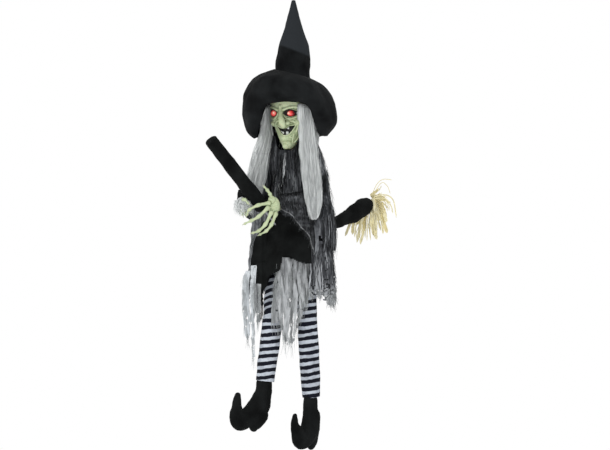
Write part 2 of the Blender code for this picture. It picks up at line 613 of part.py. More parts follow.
def robe(bench, looks):
    """The bodice, the two skirt halves behind the legs, the apron and the rags below it."""
    bodice_top, bodice_low = ROBE[0][0], 0.762

    def bodice(u, v):
        return robe_point(math.tau * u, bodice_top - (bodice_top - bodice_low) * v, 0.0)

    holes = [rod((sign * 0.045, 0.0095, 0.956), (sign * 0.078, 0.0070, 0.956), 0.005) for sign in (1, -1)]
    bench.node("bodice_gauze", looks["gauze"], grid(bodice, 20, 5, around=True), wall=0.002, cut=holes)
    for side, sign in (("left", 1), ("right", -1)):
        def skirt(u, v):
            turn = sign * math.radians(48 + (179 - 48) * u)
            return robe_point(turn, SKIRT_TOP - (SKIRT_TOP - SKIRT_HEM) * v, 0.0)

        tunnel = [rod(*BROOM_REAR, 0.036)] if side == "left" else []
        bench.node(f"skirt_gauze_{side}", looks["gauze"], grid(skirt, 12, 9), wall=SKIRT_WALL * sign,
                   cut=tunnel)

    def apron(u, v):
        turn = math.radians(-70 + 112 * u)
        return robe_point(turn, APRON_TOP - APRON_LONG * v, APRON_OUT)

    bench.node("apron_felt", looks["black_felt"], grid(apron, 14, 6), wall=SKIRT_WALL,
               cut=[rod(*BROOM_FRONT, 0.012)])

    def rags(u, v):
        low, high = -0.034 + 0.028 * min(1.0, v * 1.6), 0.088 - 0.050 * v
        x = low + (high - low) * u
        return Vector((x, -0.070 + 0.05 * max(0.0, x) - 0.008 * v, RAGS_TOP - RAGS_LONG * v))

    bench.node("front_rags", looks["rag"], grid(rags, 8, 8), wall=SKIRT_WALL)


def head(bench, looks):
    """The vinyl face and back of the head, with the lit eyes and the mouth lining behind them."""
    top, chin = HEAD[0][0], HEAD[-1][0]

    def skin(first, last):
        def surface(u, v):
            return head_point(math.radians(first + (last - first) * u), top - (top - chin) * v)
        return surface

    eyes = [ball((sign * EYE_X, EYE_Y, EYE_CENTRE_H), [EYE_R + GAP] * 3, 12) for sign in (1, -1)]
    mouth = ball((FACE_SHIFT, -0.096, MOUTH_H), (0.023, 0.016, 0.013), 12)
    bench.node("face_mask", looks["green_vinyl"], grid(skin(-89, 89), 22, 18), "head", wall=SKIN_WALL,
               cut=eyes + [mouth])
    bench.node("head_back", looks["green_vinyl"], grid(skin(91, 269), 12, 9), "head", wall=SKIN_WALL,
               cut=[upright(0.0045, 1.18, 1.23)])
    for side, sign in (("left", 1), ("right", -1)):
        lens = ball((sign * EYE_X, EYE_Y, EYE_CENTRE_H), [EYE_R] * 3, 12)
        bench.node(f"eye_lens_{side}", looks["lens"], lens, "head")
    gum = ball((FACE_SHIFT, -0.078, MOUTH_H), (0.026, 0.007, 0.014), 12)
    teeth = [box((x - 0.0035, -0.090, low), (x + 0.0035, -0.079, low + 0.008))
             for x, low in ((0.006, 1.051), (0.017, 1.051), (0.021, 1.068))]
    bench.node("mouth_insert", looks["mouth"], gum, "head", join=teeth)
    bench.node("eye_led_board", looks["board"], box((-0.038, -0.0640, 1.105), (0.038, -0.0624, 1.135)), "head")


def hat(bench, looks):
    """The pointed crown and the drooping brim, which is lifted over the face and hangs lower to her left."""
    # Height, half-width, half-depth and centre Y, from the tip down to the crown's lower edge.
    crown = ((1.4985, 0.0044, 0.0044, 0.0), (1.427, 0.0226, 0.0226, 0.0), (1.383, 0.036, 0.036, 0.0),
             (1.347, 0.048, 0.048, 0.0), (1.310, 0.0547, 0.0547, -0.002), (1.283, 0.057, 0.057, -0.006),
             (1.260, 0.0558, 0.0570, -0.010), (1.235, 0.060, 0.068, -0.015), (1.200, 0.066, 0.082, -0.021),
             (1.168, 0.069, 0.089, HEAD_Y))
    heights = [row[0] for row in crown]

    def cone(u, v):
        row = min(int(round(v * (len(heights) - 1))), len(heights) - 1)
        height, half_width, half_depth, middle = crown[row]
        turn = math.tau * u
        return Vector((half_width * math.sin(turn), middle - half_depth * math.cos(turn), height))

    bench.node("hat_cone", looks["black_felt"], grid(cone, 20, len(heights) - 1, around=True), "head",
               wall=HAT_WALL)

    # The brim's outline away from the face: radius and height. In front it is drawn up.
    brim = ((0.0610, 1.262), (0.083, 1.250), (0.106, 1.236), (0.126, 1.214), (0.142, 1.186), (0.152, 1.152),
            (0.1545, 1.118), (0.150, 1.085), (0.140, 1.060), (0.122, 1.042))
    root_radius, root_height = brim[0]
    steep_from, level_from = 1.150, 1.060

    def lifted(turn):
        away = abs(math.degrees((turn - math.radians(20) + math.pi) % math.tau - math.pi))
        share = max(0.0, min(1.0, (62.0 - away) / 32.0))
        return 1.0 - 0.527 * share * share * (3 - 2 * share)

    def dome(u, v):
        turn = math.tau * u
        radius, height = brim[int(round(v * (len(brim) - 1)))]
        middle = -0.010 + (BRIM_Y + 0.010) * min(1.0, (radius - root_radius) / 0.07)
        tilted = max(0.0, min(1.0, (height - level_from) / (steep_from - level_from)))
        fall = BRIM_TILT * tilted * radius * math.cos(turn - BRIM_LOW_SIDE)
        drop = (root_height - height) * lifted(turn) + fall
        return Vector((radius * math.sin(turn), middle - radius * math.cos(turn), root_height - drop))

    bench.node("hat_brim", looks["black_felt"], grid(dome, 30, len(brim) - 1, around=True), "head",
               wall=BRIM_WALL)


def hair(bench, looks):
    """A curtain in front of each shoulder and a wider one down her back."""
    # Height, X, Y and half-width of each curtain.
    left = ((HAIR_TOP, 0.0730, -0.0620, 0.022), (1.100, 0.0720, -0.0615, 0.0235), (1.040, 0.077, -0.059, 0.024),
            (0.975, 0.0840, -0.0600, 0.025), (0.933, 0.0915, -0.0640, 0.026), (0.867, 0.107, -0.078, 0.025),
            (0.817, 0.1180, -0.0920, 0.022), (0.790, 0.1200, -0.0980, 0.012))
    right = ((HAIR_TOP, -0.0745, -0.045, 0.018), (1.100, -0.076, -0.048, 0.020), (1.040, -0.079, -0.058, 0.023),
             (0.975, -0.0910, -0.067, 0.025), (0.920, -0.098, -0.077, 0.026), (0.860, -0.104, -0.089, 0.025))
    # The flat of each curtain turns between these angles from her left, in degrees, on its way down.
    for side, table, first, last in (("left", left, 45, 25), ("right", right, 110, 25)):
        top, low = table[0][0], table[-1][0]

        def curtain(u, v):
            height = top - (top - low) * v
            x, y, half = profile_at(table, height)
            turn = math.radians(first + (last - first) * v)
            reach = (u - 0.5) * 2 * half
            return Vector((x + reach * math.cos(turn), y + reach * math.sin(turn), height))

        bench.node(f"hair_{side}", looks["hair"], grid(curtain, 5, 10), "head", wall=HAIR_WALL)

    def back(u, v):
        turn = math.radians(125 + 110 * u)
        return Vector((0.080 * math.sin(turn), -0.004 - 0.080 * math.cos(turn), HAIR_TOP - 0.330 * v))

    bench.node("hair_back", looks["hair"], grid(back, 10, 8), "head", wall=HAIR_WALL)


def leg(bench, looks, side):
    sign = 1 if side == "left" else -1
    knee, ankle = KNEES[side], ANKLES[side]
    hip = Vector((HIP_X + sign * HIP_HALF, 0.0, HIP_H))
    hub_x = HIP_X + sign * 0.0405
    hub = crosswise(0.009, hub_x - sign * 0.0068, hub_x + sign * 0.0068, 0.0, HIP_H, 24)
    bar_top = Vector((hub_x, 0.0, HIP_H - 0.006))
    bar_end = knee + Vector((sign * 0.0088, 0.0, 0.0))
    bar = rod(bar_top, bar_end, 0.004)
    cheek = crosswise(0.0075, knee.x + sign * 0.0044, knee.x + sign * 0.0105, knee.y, knee.z)
    pin = crosswise(KNEE_PIN_R, knee.x - sign * 0.0052, knee.x + sign * 0.0060, knee.y, knee.z, 24)
    cap = crosswise(0.0045, knee.x - sign * 0.0044, knee.x - sign * 0.0064, knee.y, knee.z)
    kick, bend = f"{side}_kick", f"{side}_knee"
    bench.node(f"thigh_link_{side}", looks["steel"], hub, kick, join=[bar, cheek, pin, cap],
               cut=[crosswise(AXLE_R + GAP, hub_x - 0.02, hub_x + 0.02, 0.0, HIP_H, 24)])
    stations = [(hip.lerp(knee, share), radius)
                for share, radius in ((0.23, 0.024), (0.27, 0.032), (0.55, 0.034), (0.84, 0.032), (0.885, 0.025))]
    bench.node(f"stocking_thigh_{side}", looks["stocking"], limb(stations), kick,
               cut=[rod(bar_top, bar_end, 0.0045)])
    down = (ankle - knee).normalized()
    bar_low = ankle + down * 0.022
    shin_bar = rod(knee + down * 0.005, bar_low, 0.0035)
    eye = crosswise(0.0075, knee.x - 0.0038, knee.x + 0.0038, knee.y, knee.z)
    bench.node(f"shin_link_{side}", looks["steel"], eye, bend, join=[shin_bar],
               cut=[crosswise(KNEE_PIN_R + GAP, knee.x - 0.01, knee.x + 0.01, knee.y, knee.z, 24)])
    long = (ankle - knee).length
    radii = ((0.022, 0.025), (0.032, 0.032), (long * 0.5, 0.033), (long - 0.012, 0.029), (long + 0.001, 0.024))
    bench.node(f"stocking_shin_{side}", looks["stocking"],
               limb([(knee + down * at, radius) for at, radius in radii]), bend,
               cut=[rod(knee, bar_low + down * 0.02, 0.0040)])
    shoe(bench, looks, side, ankle, down, bar_low)


def shoe(bench, looks, side, ankle, down, bar_low):
    """A felt shoe with a curled toe: forward, rise above the sole, and radius."""
    sole = SOLES[side]
    forward = Vector((-math.sin(TOE_TURN[side]), -math.cos(TOE_TURN[side]), 0.0))
    base = Vector((ankle.x, ankle.y, sole))
    top = ankle.z - sole - 0.004
    path = ((0.0, top, 0.0265), (0.0, 0.125, 0.027), (0.003, 0.092, 0.029), (0.018, 0.052, 0.033),
            (0.052, 0.033, 0.029), (0.088, 0.029, 0.025), (0.109, 0.050, 0.020), (0.117, 0.080, 0.015),
            (0.108, 0.109, 0.009), (0.094, 0.127, 0.004))
    stations = [(base + forward * ahead + Vector((0.0, 0.0, rise)), radius) for ahead, rise, radius in path]
    heel_at = base + forward * 0.010
    heel = rod(heel_at, heel_at + Vector((0.0, 0.0, 0.040)), 0.018, 0.022)
    bench.node(f"shoe_{side}", looks["black_felt"], limb(stations), f"{side}_knee", join=[heel],
               cut=[rod(ankle - down * 0.02, bar_low + down * 0.001, 0.0040)])


def main():
    clear_scene()
    bench = Bench()
    looks = {
        "steel": material("steel", (0.55, 0.56, 0.57), 0.35, 1.0),
        "brass": material("brass", (0.72, 0.55, 0.25), 0.35, 1.0),
        "black_plastic": material("black_plastic", (0.03, 0.03, 0.03), 0.45),
        "white_plastic": material("white_plastic", (0.82, 0.81, 0.77), 0.40),
        "foam": material("foam", (0.20, 0.20, 0.22), 0.90),
        "board": material("board", (0.05, 0.22, 0.10), 0.50),
        "cell": material("cell", (0.10, 0.12, 0.15), 0.30),
        "black_felt": material("black_felt", (0.018, 0.019, 0.019), 0.95),
        "gauze": material("gauze", (0.10, 0.10, 0.11), 0.90),
        "rag": material("rag", (0.42, 0.45, 0.44), 0.90),
        "stocking": material("stocking", (0.45, 0.46, 0.52), 0.80),
        "green_vinyl": material("green_vinyl", (0.46, 0.56, 0.30), 0.60),
        "lens": material("lens", (0.85, 0.12, 0.12), 0.20),
        "mouth": material("mouth", (0.02, 0.02, 0.03), 0.40),
        "hair": material("hair", (0.52, 0.54, 0.54), 0.70),
        "raffia": material("raffia", (0.30, 0.26, 0.20), 0.80),
    }
    bench.pivot("head", (0.0, 0.0, HEAD_GEAR_H))
    bench.pivot("head_pinion", (0.0, HEAD_MOTOR_Y, HEAD_GEAR_H))
    bench.pivot("battery_door", (0.0, BATTERY_BACK, BATTERY_LOW))
    bench.pivot("power_switch", (-BATTERY_HALF_X, 0.0175, 0.817))
    bench.pivot("drive_gear", (HIP_X, -TRAIN_Y, TRAIN_H))
    bench.pivot("idler_gear", (HIP_X, TRAIN_Y, TRAIN_H))
    bench.pivot("kick_pinion", (HIP_X, -TRAIN_Y, PINION_H))
    for side in ("left", "right"):
        bench.pivot(f"{side}_kick", (HIP_X, 0.0, HIP_H))
        bench.pivot(f"{side}_knee", KNEES[side], f"{side}_kick")
    spine(bench, looks)
    arms = shoulders(bench, looks)
    head_drive(bench, looks)
    torso(bench, looks)
    battery_bay(bench, looks)
    drive_box(bench, looks)
    kick_train(bench, looks)
    broom(bench, looks)
    hands(bench, looks)
    sleeves(bench, looks, arms)
    robe(bench, looks)
    head(bench, looks)
    hat(bench, looks)
    hair(bench, looks)
    for side in ("left", "right"):
        leg(bench, looks, side)


main()
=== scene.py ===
"""The looks of the hanging witch figure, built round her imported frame.

Shapes are laid out in figure coordinates, in metres: X to her left, Y behind her and Z the height
above her lowest sole. Each finished mesh is lowered by SOLE_Z into the frame that the CAD uses.
"""

import json
import math

import bmesh
import bpy
import numpy as np
from mathutils import Matrix, Vector, noise


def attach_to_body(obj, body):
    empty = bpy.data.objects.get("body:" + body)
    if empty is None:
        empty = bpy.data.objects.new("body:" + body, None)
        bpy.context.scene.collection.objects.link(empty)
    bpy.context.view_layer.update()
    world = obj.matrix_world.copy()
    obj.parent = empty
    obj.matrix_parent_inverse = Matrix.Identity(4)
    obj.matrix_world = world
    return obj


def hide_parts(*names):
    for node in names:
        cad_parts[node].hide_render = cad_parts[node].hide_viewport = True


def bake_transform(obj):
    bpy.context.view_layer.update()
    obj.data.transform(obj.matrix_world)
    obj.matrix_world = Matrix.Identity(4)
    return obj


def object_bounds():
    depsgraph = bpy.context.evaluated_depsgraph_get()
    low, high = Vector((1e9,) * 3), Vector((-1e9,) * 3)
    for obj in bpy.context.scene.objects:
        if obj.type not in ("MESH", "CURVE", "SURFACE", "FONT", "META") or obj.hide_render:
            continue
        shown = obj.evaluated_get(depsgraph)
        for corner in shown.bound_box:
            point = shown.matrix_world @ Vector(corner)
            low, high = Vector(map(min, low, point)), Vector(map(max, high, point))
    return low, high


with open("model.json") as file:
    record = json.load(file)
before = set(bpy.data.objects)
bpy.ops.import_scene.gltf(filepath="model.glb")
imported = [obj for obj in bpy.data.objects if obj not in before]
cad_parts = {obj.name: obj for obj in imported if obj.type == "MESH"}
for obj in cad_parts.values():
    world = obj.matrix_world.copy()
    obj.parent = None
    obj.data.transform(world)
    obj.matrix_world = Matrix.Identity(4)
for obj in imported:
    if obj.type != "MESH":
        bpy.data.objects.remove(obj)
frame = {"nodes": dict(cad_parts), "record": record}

CAD_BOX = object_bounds()
noise.seed_set(19)
SOLE_Z = CAD_BOX[0].z
VIEW_TURN = math.radians(25)          # the side from which the pose is laid out, towards her left
NO_STRETCH = (1.0, 1.0, 1.0)

HEAD_Y = -0.025
FACE_SHIFT = 0.012                    # how far the crooked lower face sits towards her left
EYES = {"left": (0.0290, -0.0808, 1.120), "right": (-0.0305, -0.0808, 1.120)}
EYE_R = 0.0155
MOUTH = (-0.020, 0.046)               # the corners of the grin, across

# The head: height, half-width, depth in front of and behind HEAD_Y.
HEAD = ((1.215, 0.016, 0.016, 0.020), (1.205, 0.035, 0.040, 0.048), (1.190, 0.050, 0.062, 0.066),
        (1.165, 0.060, 0.075, 0.078), (1.140, 0.063, 0.078, 0.080), (1.120, 0.062, 0.077, 0.080),
        (1.100, 0.060, 0.077, 0.076), (1.080, 0.056, 0.075, 0.070), (1.063, 0.050, 0.072, 0.066),
        (1.040, 0.038, 0.075, 0.050), (1.020, 0.027, 0.071, 0.030), (1.010, 0.018, 0.064, 0.010),
        (1.003, 0.009, 0.056, 0.000))
# The robe: height, half-width, half-depth.
ROBE = ((0.975, 0.051, 0.052), (0.955, 0.058, 0.054), (0.930, 0.060, 0.056), (0.850, 0.066, 0.060),
        (0.790, 0.076, 0.066), (0.757, 0.088, 0.072), (0.735, 0.104, 0.080), (0.700, 0.122, 0.090),
        (0.640, 0.132, 0.098), (0.550, 0.137, 0.104), (0.470, 0.139, 0.106))
# The cape over it, round the shoulders and the left elbow: the same.
CAPE = ((1.030, 0.083, 0.054), (1.010, 0.092, 0.058), (0.990, 0.100, 0.062), (0.965, 0.108, 0.066),
        (0.945, 0.115, 0.068), (0.900, 0.126, 0.072), (0.850, 0.133, 0.080), (0.790, 0.145, 0.086),
        (0.730, 0.151, 0.092), (0.650, 0.147, 0.100))
CAPE_Y = -0.010
SOCKET = (0.0208, 0.0128)             # the half-width and half-height of a black eye socket
STRAY = 0.004                         # how far loose fibres wander
FINGER_RADII = (0.0066, 0.0056, 0.0050, 0.0030)
LEG_R = 0.033                         # the mean radius, which the ribs of the knit are counted by
FLOOR_DROP = 0.35                     # how far the floor lies below her lowest sole
CAMERA_AWAY = 11.30
PICTURE_MIDDLE = (0.0383, 0.75)       # across and height

# The limbs, by the middles of their joints.
SHOULDERS = {"left": (0.094, -0.004, 0.925), "right": (-0.094, -0.004, 0.925)}
ELBOWS = {"left": (0.115, -0.030, 0.790), "right": (-0.132, -0.032, 0.800)}
WRISTS = {"left": (0.003, -0.124, 0.807), "right": (-0.125, -0.118, 0.838)}
HIPS = {"left": (0.038, 0.0, 0.635), "right": (-0.058, 0.0, 0.635)}
KNEES = {"left": (0.048, 0.006, 0.435), "right": (-0.0435, -0.068, 0.447)}
ANKLES = {"left": (0.055, 0.022, 0.177), "right": (-0.067, -0.078, 0.232)}
SOLES = {"left": 0.0, "right": 0.064}
TOE_TURN = {"left": math.radians(12), "right": math.radians(35)}   # each toe, to her right
# The broom's two straight ends, each from her lap outwards.
BROOM_FRONT = (Vector((-0.016, -0.050, 0.720)), Vector((-0.142, -0.330, 1.027)))
BROOM_REAR = (Vector((0.0227, 0.030, 0.710)), Vector((0.151, 0.280, 0.827)))


# ---------------------------------------------------------------- materials

def colour(red, green, blue):
    """A colour given as a screen shows it, from 0 to 255."""
    def linear(level):
        share = level / 255
        return share / 12.92 if share <= 0.04045 else ((share + 0.055) / 1.055) ** 2.4
    return (linear(red), linear(green), linear(blue), 1.0)


class Look:
    """A procedural material: a Principled shader and the nodes that feed it."""

    def __init__(self, name, **uniform):
        self.material = bpy.data.materials.new(name)
        self.material.use_nodes = True
        self.tree = self.material.node_tree
        self.shader = self.tree.nodes["Principled BSDF"]
        for socket, value in uniform.items():
            self.shader.inputs[socket.replace("_", " ")].default_value = value

    def add(self, kind, inputs, output=0, **settings):
        node = self.tree.nodes.new("ShaderNode" + kind)
        for key, value in settings.items():
            setattr(node, key, value)
        for socket, value in inputs.items():
            if isinstance(value, bpy.types.NodeSocket):
                self.tree.links.new(value, node.inputs[socket])
            else:
                node.inputs[socket].default_value = value
        return node.outputs[output]

    def place(self, stretch=NO_STRETCH):
        own = self.add("TexCoord", {}, "Object")
        return self.add("Mapping", {"Vector": own, "Scale": stretch})

    def noise(self, scale, stretch=NO_STRETCH, detail=4.0, distortion=0.0):
        return self.add("TexNoise", {"Vector": self.place(stretch), "Scale": scale, "Detail": detail,
                                     "Distortion": distortion}, "Fac")

    def attribute(self, name):
        return self.add("Attribute", {}, "Fac", attribute_name=name)

    def maths(self, operation, first, second=0.0):
        return self.add("Math", {0: first, 1: second}, operation=operation)

    def ramp(self, factor, *stops):
        """A colour from a factor, through (place, colour) stops."""
        made = self.add("ValToRGB", {"Fac": factor}, "Color")
        line = made.node.color_ramp
        while len(line.elements) < len(stops):
            line.elements.new(0.5)
        for element, (place, shade) in zip(line.elements, stops):
            element.position = place
            element.color = shade
        return made

    def mix(self, factor, first, second, blend="MIX"):
        return self.add("Mix", {0: factor, 6: first, 7: second}, 2, data_type="RGBA", blend_type=blend)

    def paint(self, shade):
        self.tree.links.new(shade, self.shader.inputs["Base Color"])

    def relief(self, height, distance, strength=1.0):
        bump = self.add("Bump", {"Height": height, "Distance": distance, "Strength": strength})
        self.tree.links.new(bump, self.shader.inputs["Normal"])

    def feed(self, socket, value):
        self.tree.links.new(value, self.shader.inputs[socket])


def felt_look(name, *shades):
    """Black felt with lint, greyer where its mesh asks for painted light: base, lint and painted light
    shades.
    """
    base, lint, painted_light = (colour(*shade) for shade in shades)
    look = Look(name, Roughness=0.95, Specular_IOR_Level=0.08)
    blotch = look.ramp(look.noise(16, detail=5), (0.35, base), (0.80, lint))
    # Painted light: the felt turns to its third, greyer shade where the mesh marks a lit part.
    shade = look.mix(look.attribute("painted_light"), blotch, painted_light)
    fluff = look.ramp(look.noise(420, detail=6), (0.60, (0, 0, 0, 1)), (0.85, (1, 1, 1, 1)))
    look.paint(look.mix(look.maths("MULTIPLY", fluff, 0.5), shade, lint))
    look.relief(look.noise(650, detail=6), 0.0006)
    return look.material


def gauze_look(name, *shades, bias=0.0):
    """Creped gauze, dry-brushed with paler paint in upright streaks, and paler or darker where its mesh says
    so, which at the top of the sleeve's fall is painted shadow.
    """
    dark, middle, light = (colour(*shade) for shade in shades)
    look = Look(name, Roughness=0.95, Specular_IOR_Level=0.08)
    streaks = look.noise(300, (1.0, 1.0, 0.055), 5.0, 0.3)
    bands = look.noise(60, (1.0, 1.0, 0.20), 4.0, 0.5)
    patches = look.noise(13, (1.0, 1.0, 0.45), 3.0)
    level = look.maths("ADD", look.maths("MULTIPLY", streaks, 0.45), look.maths("MULTIPLY", bands, 0.40))
    level = look.maths("ADD", level, look.maths("MULTIPLY", patches, 0.35))
    level = look.maths("ADD", level, look.maths("MULTIPLY", look.attribute("pale"), 0.22))
    shade = look.ramp(level, (0.52 - bias, dark), (0.63 - bias, middle), (0.80 - bias, light))
    crossing = look.noise(800, (0.4, 0.4, 1.6), 3.0)
    look.paint(look.mix(look.maths("MULTIPLY", crossing, 0.3), shade, dark))
    look.relief(look.noise(520, (1.0, 1.0, 0.3), 5.0), 0.0007)
    return look.material


def vinyl_look(name):
    """Soft sage-green vinyl, with painted shade in its hollows, painted highlights on its ridges and painted
    light where its mesh asks for it.
    """
    look = Look(name, Roughness=0.5, Specular_IOR_Level=0.35, Subsurface_Weight=0.06,
                Subsurface_Scale=0.004)
    skin = look.ramp(look.noise(38, detail=6), (0.30, colour(122, 135, 98)), (0.52, colour(150, 162, 126)),
                     (0.75, colour(171, 182, 145)))
    # Painted shade in the hollows and painted highlights on the ridges, both read from how hollow the clay
    # lies.
    hollow = look.ramp(look.attribute("hollow"), (0.45, (0, 0, 0, 1)), (0.85, (1, 1, 1, 1)))
    painted_ridge_highlight = look.ramp(look.attribute("hollow"), (0.12, (1, 1, 1, 1)), (0.40, (0, 0, 0, 1)))
    painted_light_skin = look.mix(look.maths("MULTIPLY", hollow, 0.65), skin, colour(84, 94, 64))
    painted_light_skin = look.mix(look.maths("MULTIPLY", painted_ridge_highlight, 0.4), painted_light_skin, colour(198, 207, 172))
    # Painted light where the mesh's light attribute asks, on the brow under the brim.
    painted_light_skin = look.mix(look.maths("MULTIPLY", look.attribute("light"), 0.75), painted_light_skin, colour(212, 222, 184))
    look.paint(look.mix(look.attribute("black"), painted_light_skin, colour(10, 9, 9)))
    look.relief(look.noise(520, detail=5), 0.0004)
    return look.material


def lens_look():
    """A lit red lens, hot in the middle."""
    look = Look("eye_lens", Roughness=0.15)
    glow = look.ramp(look.attribute("core"), (0.0, colour(96, 10, 14)), (0.35, colour(196, 52, 54)),
                     (0.72, colour(214, 110, 98)), (0.95, colour(240, 205, 184)))
    look.paint(glow)
    look.feed("Emission Color", glow)
    look.shader.inputs["Emission Strength"].default_value = 0.55
    return look.material


def stocking_look(stripes=0.0240, rib_width=0.0026, row_height=0.0020):
    """Knitted stripes across the leg, with the ribs of the knit."""
    look = Look("stocking_knit", Roughness=0.9, Specular_IOR_Level=0.1)
    along = look.attribute("along")
    wobble = look.maths("MULTIPLY", look.noise(70), 0.0055)
    stripe = look.maths("FRACT", look.maths("DIVIDE", look.maths("ADD", along, wobble), stripes))
    navy, white = colour(24, 26, 36), colour(198, 205, 215)
    shade = look.ramp(stripe, (0.01, white), (0.04, navy), (0.55, navy), (0.58, white))
    rib = look.maths("SINE", look.maths("MULTIPLY", look.attribute("around"), math.tau / rib_width))
    row = look.maths("SINE", look.maths("MULTIPLY", along, math.tau / row_height))
    knit = look.maths("ADD", rib, look.maths("MULTIPLY", row, 0.6))
    soil = look.ramp(look.noise(30, detail=5), (0.45, (1, 1, 1, 1)), (0.75, colour(196, 196, 200)))
    look.paint(look.mix(1.0, shade, soil, "MULTIPLY"))
    look.relief(knit, 0.0005)
    return look.material


def fibre_look(name, *shades, roughness=0.9, streak_scale=260):
    """Strands or strips that each keep a tone of their own, with fine streaks along them."""
    look = Look(name, Roughness=roughness, Specular_IOR_Level=0.3)
    own = look.add("NewGeometry", {}, "Random Per Island")
    last = len(shades) - 1
    tone = look.ramp(own, *[(index / last, colour(*shade)) for index, shade in enumerate(shades)])
    streak = look.ramp(look.noise(streak_scale, (1.0, 1.0, 0.12), 4.0), (0.30, colour(205, 205, 206)),
                       (0.65, (1, 1, 1, 1)))
    look.paint(look.mix(1.0, tone, streak, "MULTIPLY"))
    return look.material


def hard_look(name, shade, second, roughness, metallic=0.0, grain=NO_STRETCH, scale=60):
    """Metal or moulded plastic with a faint variation of colour and a fine grain."""
    look = Look(name, Roughness=roughness, Metallic=metallic)
    look.paint(look.mix(look.noise(scale, grain, 5.0), colour(*shade), colour(*second)))
    look.relief(look.noise(900, grain, 3.0), 0.0001)
    return look.material


def board_look(name):
    """A circuit board: green lacquer over paler tracks."""
    look = Look(name, Roughness=0.35)
    look.paint(look.add("TexBrick", {"Vector": look.place(), "Scale": 140.0, "Mortar Size": 0.035,
                                     "Color1": colour(20, 92, 48), "Color2": colour(16, 80, 42),
                                     "Mortar": colour(126, 148, 84)}, "Color"))
    return look.material


def make_looks():
    """Every material, by the name that the pieces and the record's slots use."""
    return {
        # The third shade of each felt is the colour of its painted light.
        "felt": felt_look("black_felt", (8, 9, 9), (26, 28, 28), (40, 42, 43)),
        "hat_felt": felt_look("hat_felt", (10, 11, 12), (30, 32, 33), (38, 41, 44)),
        "gauze": gauze_look("black_gauze", (16, 17, 18), (48, 50, 53), (122, 125, 129)),
        "grey_gauze": gauze_look("grey_gauze", (28, 29, 31), (78, 80, 84), (168, 171, 175), bias=0.02),
        "rag": gauze_look("rag_gauze", (76, 78, 80), (122, 124, 126), (174, 177, 179), bias=0.03),
        "pale_rag": gauze_look("pale_rag", (112, 116, 120), (164, 169, 173), (208, 213, 217), bias=0.03),
        "vinyl": vinyl_look("green_vinyl"),
        "lens": lens_look(),
        "stocking": stocking_look(),
        "hair": fibre_look("hair", (206, 210, 210), (226, 229, 228), (214, 218, 218), (240, 243, 242),
                           roughness=0.6, streak_scale=120),
        "thread": fibre_look("frayed_thread", (18, 19, 20), (62, 64, 67), (34, 35, 37), (118, 121, 124)),
        "pale_thread": fibre_look("pale_thread", (120, 123, 124), (188, 193, 193), (156, 160, 161),
                                  (216, 220, 220)),
        "fluff": fibre_look("fluff", (226, 231, 230), (250, 252, 252)),
        "raffia": fibre_look("raffia", (226, 210, 150), (238, 230, 190), (230, 218, 168), (234, 232, 208),
                             roughness=0.8, streak_scale=420),
        "teeth": hard_look("teeth", (214, 221, 221), (190, 192, 176), 0.35),
        "nail": hard_look("nail", (196, 200, 176), (150, 156, 124), 0.4),
        "steel": hard_look("steel", (176, 178, 180), (140, 143, 146), 0.35, 1.0, (1.0, 1.0, 0.05), 300),
        "brass": hard_look("brass", (200, 164, 92), (170, 134, 70), 0.35, 1.0),
        "black_plastic": hard_look("black_plastic", (34, 34, 36), (24, 24, 26), 0.45),
        "white_plastic": hard_look("white_plastic", (226, 224, 216), (208, 205, 194), 0.4),
        "foam": hard_look("foam", (74, 74, 78), (52, 52, 56), 0.95),
        "board": board_look("board"),
        "cell": hard_look("cell_jacket", (40, 52, 74), (34, 42, 60), 0.3),
    }


LOOKS = make_looks()


def dress_frame():
    """Gives every node of the frame its procedural material, by its slot in the record."""
    kept = {"black_felt": "felt", "green_vinyl": "vinyl", "mouth": "teeth"}
    for part in frame["record"]["subparts"]:
        mesh = frame["nodes"][part["node"]].data
        slot = part["material_slot"]
        mesh.materials.clear()
        mesh.materials.append(LOOKS[kept.get(slot, slot)])


# ---------------------------------------------------------------- shape tools

def curve(points, count):
    """Count places on a smooth line through given points, however many values each holds."""
    knots = np.array(points, float)
    knots = np.vstack([2 * knots[0] - knots[1], knots, 2 * knots[-1] - knots[-2]])
    travel = np.linspace(0, len(points) - 1, count)
    start = np.minimum(travel.astype(int), len(points) - 2)
    share = (travel - start)[:, None]
    a, b, c, d = knots[start], knots[start + 1], knots[start + 2], knots[start + 3]
    cubic = (3 * b - a - 3 * c + d) * share ** 3
    return 0.5 * (2 * b + (c - a) * share + (2 * a - 5 * b + 4 * c - d) * share ** 2 + cubic)


def read(table, height):
    """The values of a table of heights, running down, at any heights."""
    dense = curve(table, 160)[::-1]
    return [np.interp(height, dense[:, 0], dense[:, column]) for column in range(1, dense.shape[1])]


def ease(share):
    """From 0 to 1 with soft ends."""
    share = np.clip(share, 0.0, 1.0)
    return share * share * (3 - 2 * share)


def facing(across, towards, height):
    """A point laid out as seen from the side that the pose faces."""
    cos, sin = math.cos(VIEW_TURN), math.sin(VIEW_TURN)
    return (across * cos + towards * sin, across * sin - towards * cos, height)


FORWARD = np.array(facing(0.0, 1.0, 0.0))      # towards the side that the pose faces


def all_round(count):
    """Turns that are spread evenly round a circle."""
    return np.linspace(0, math.tau, count, endpoint=False)


def bumps(points, size, seed):
    """Soft random vectors from -1 to 1 at some points, alike within size metres of each other."""
    shift = Vector((seed * 7.31, seed * 3.17, seed * 5.71))
    flat = np.asarray(points, float).reshape(-1, 3)
    made = [noise.noise_vector(Vector(point) / size + shift) for point in flat]
    return np.array(made).reshape(np.shape(points))


def crumpled(points, size, amount, seed):
    """The points, each moved by a bump of some size and height."""
    return points + bumps(points, size, seed) * amount


def creased(points, seed, folds=(0.03, 0.004), crepe=(0.009, 0.0012)):
    """Cloth crumpled twice, in wide folds and in fine creases, each with its size and height."""
    return crumpled(crumpled(points, *folds, seed), *crepe, seed + 1)


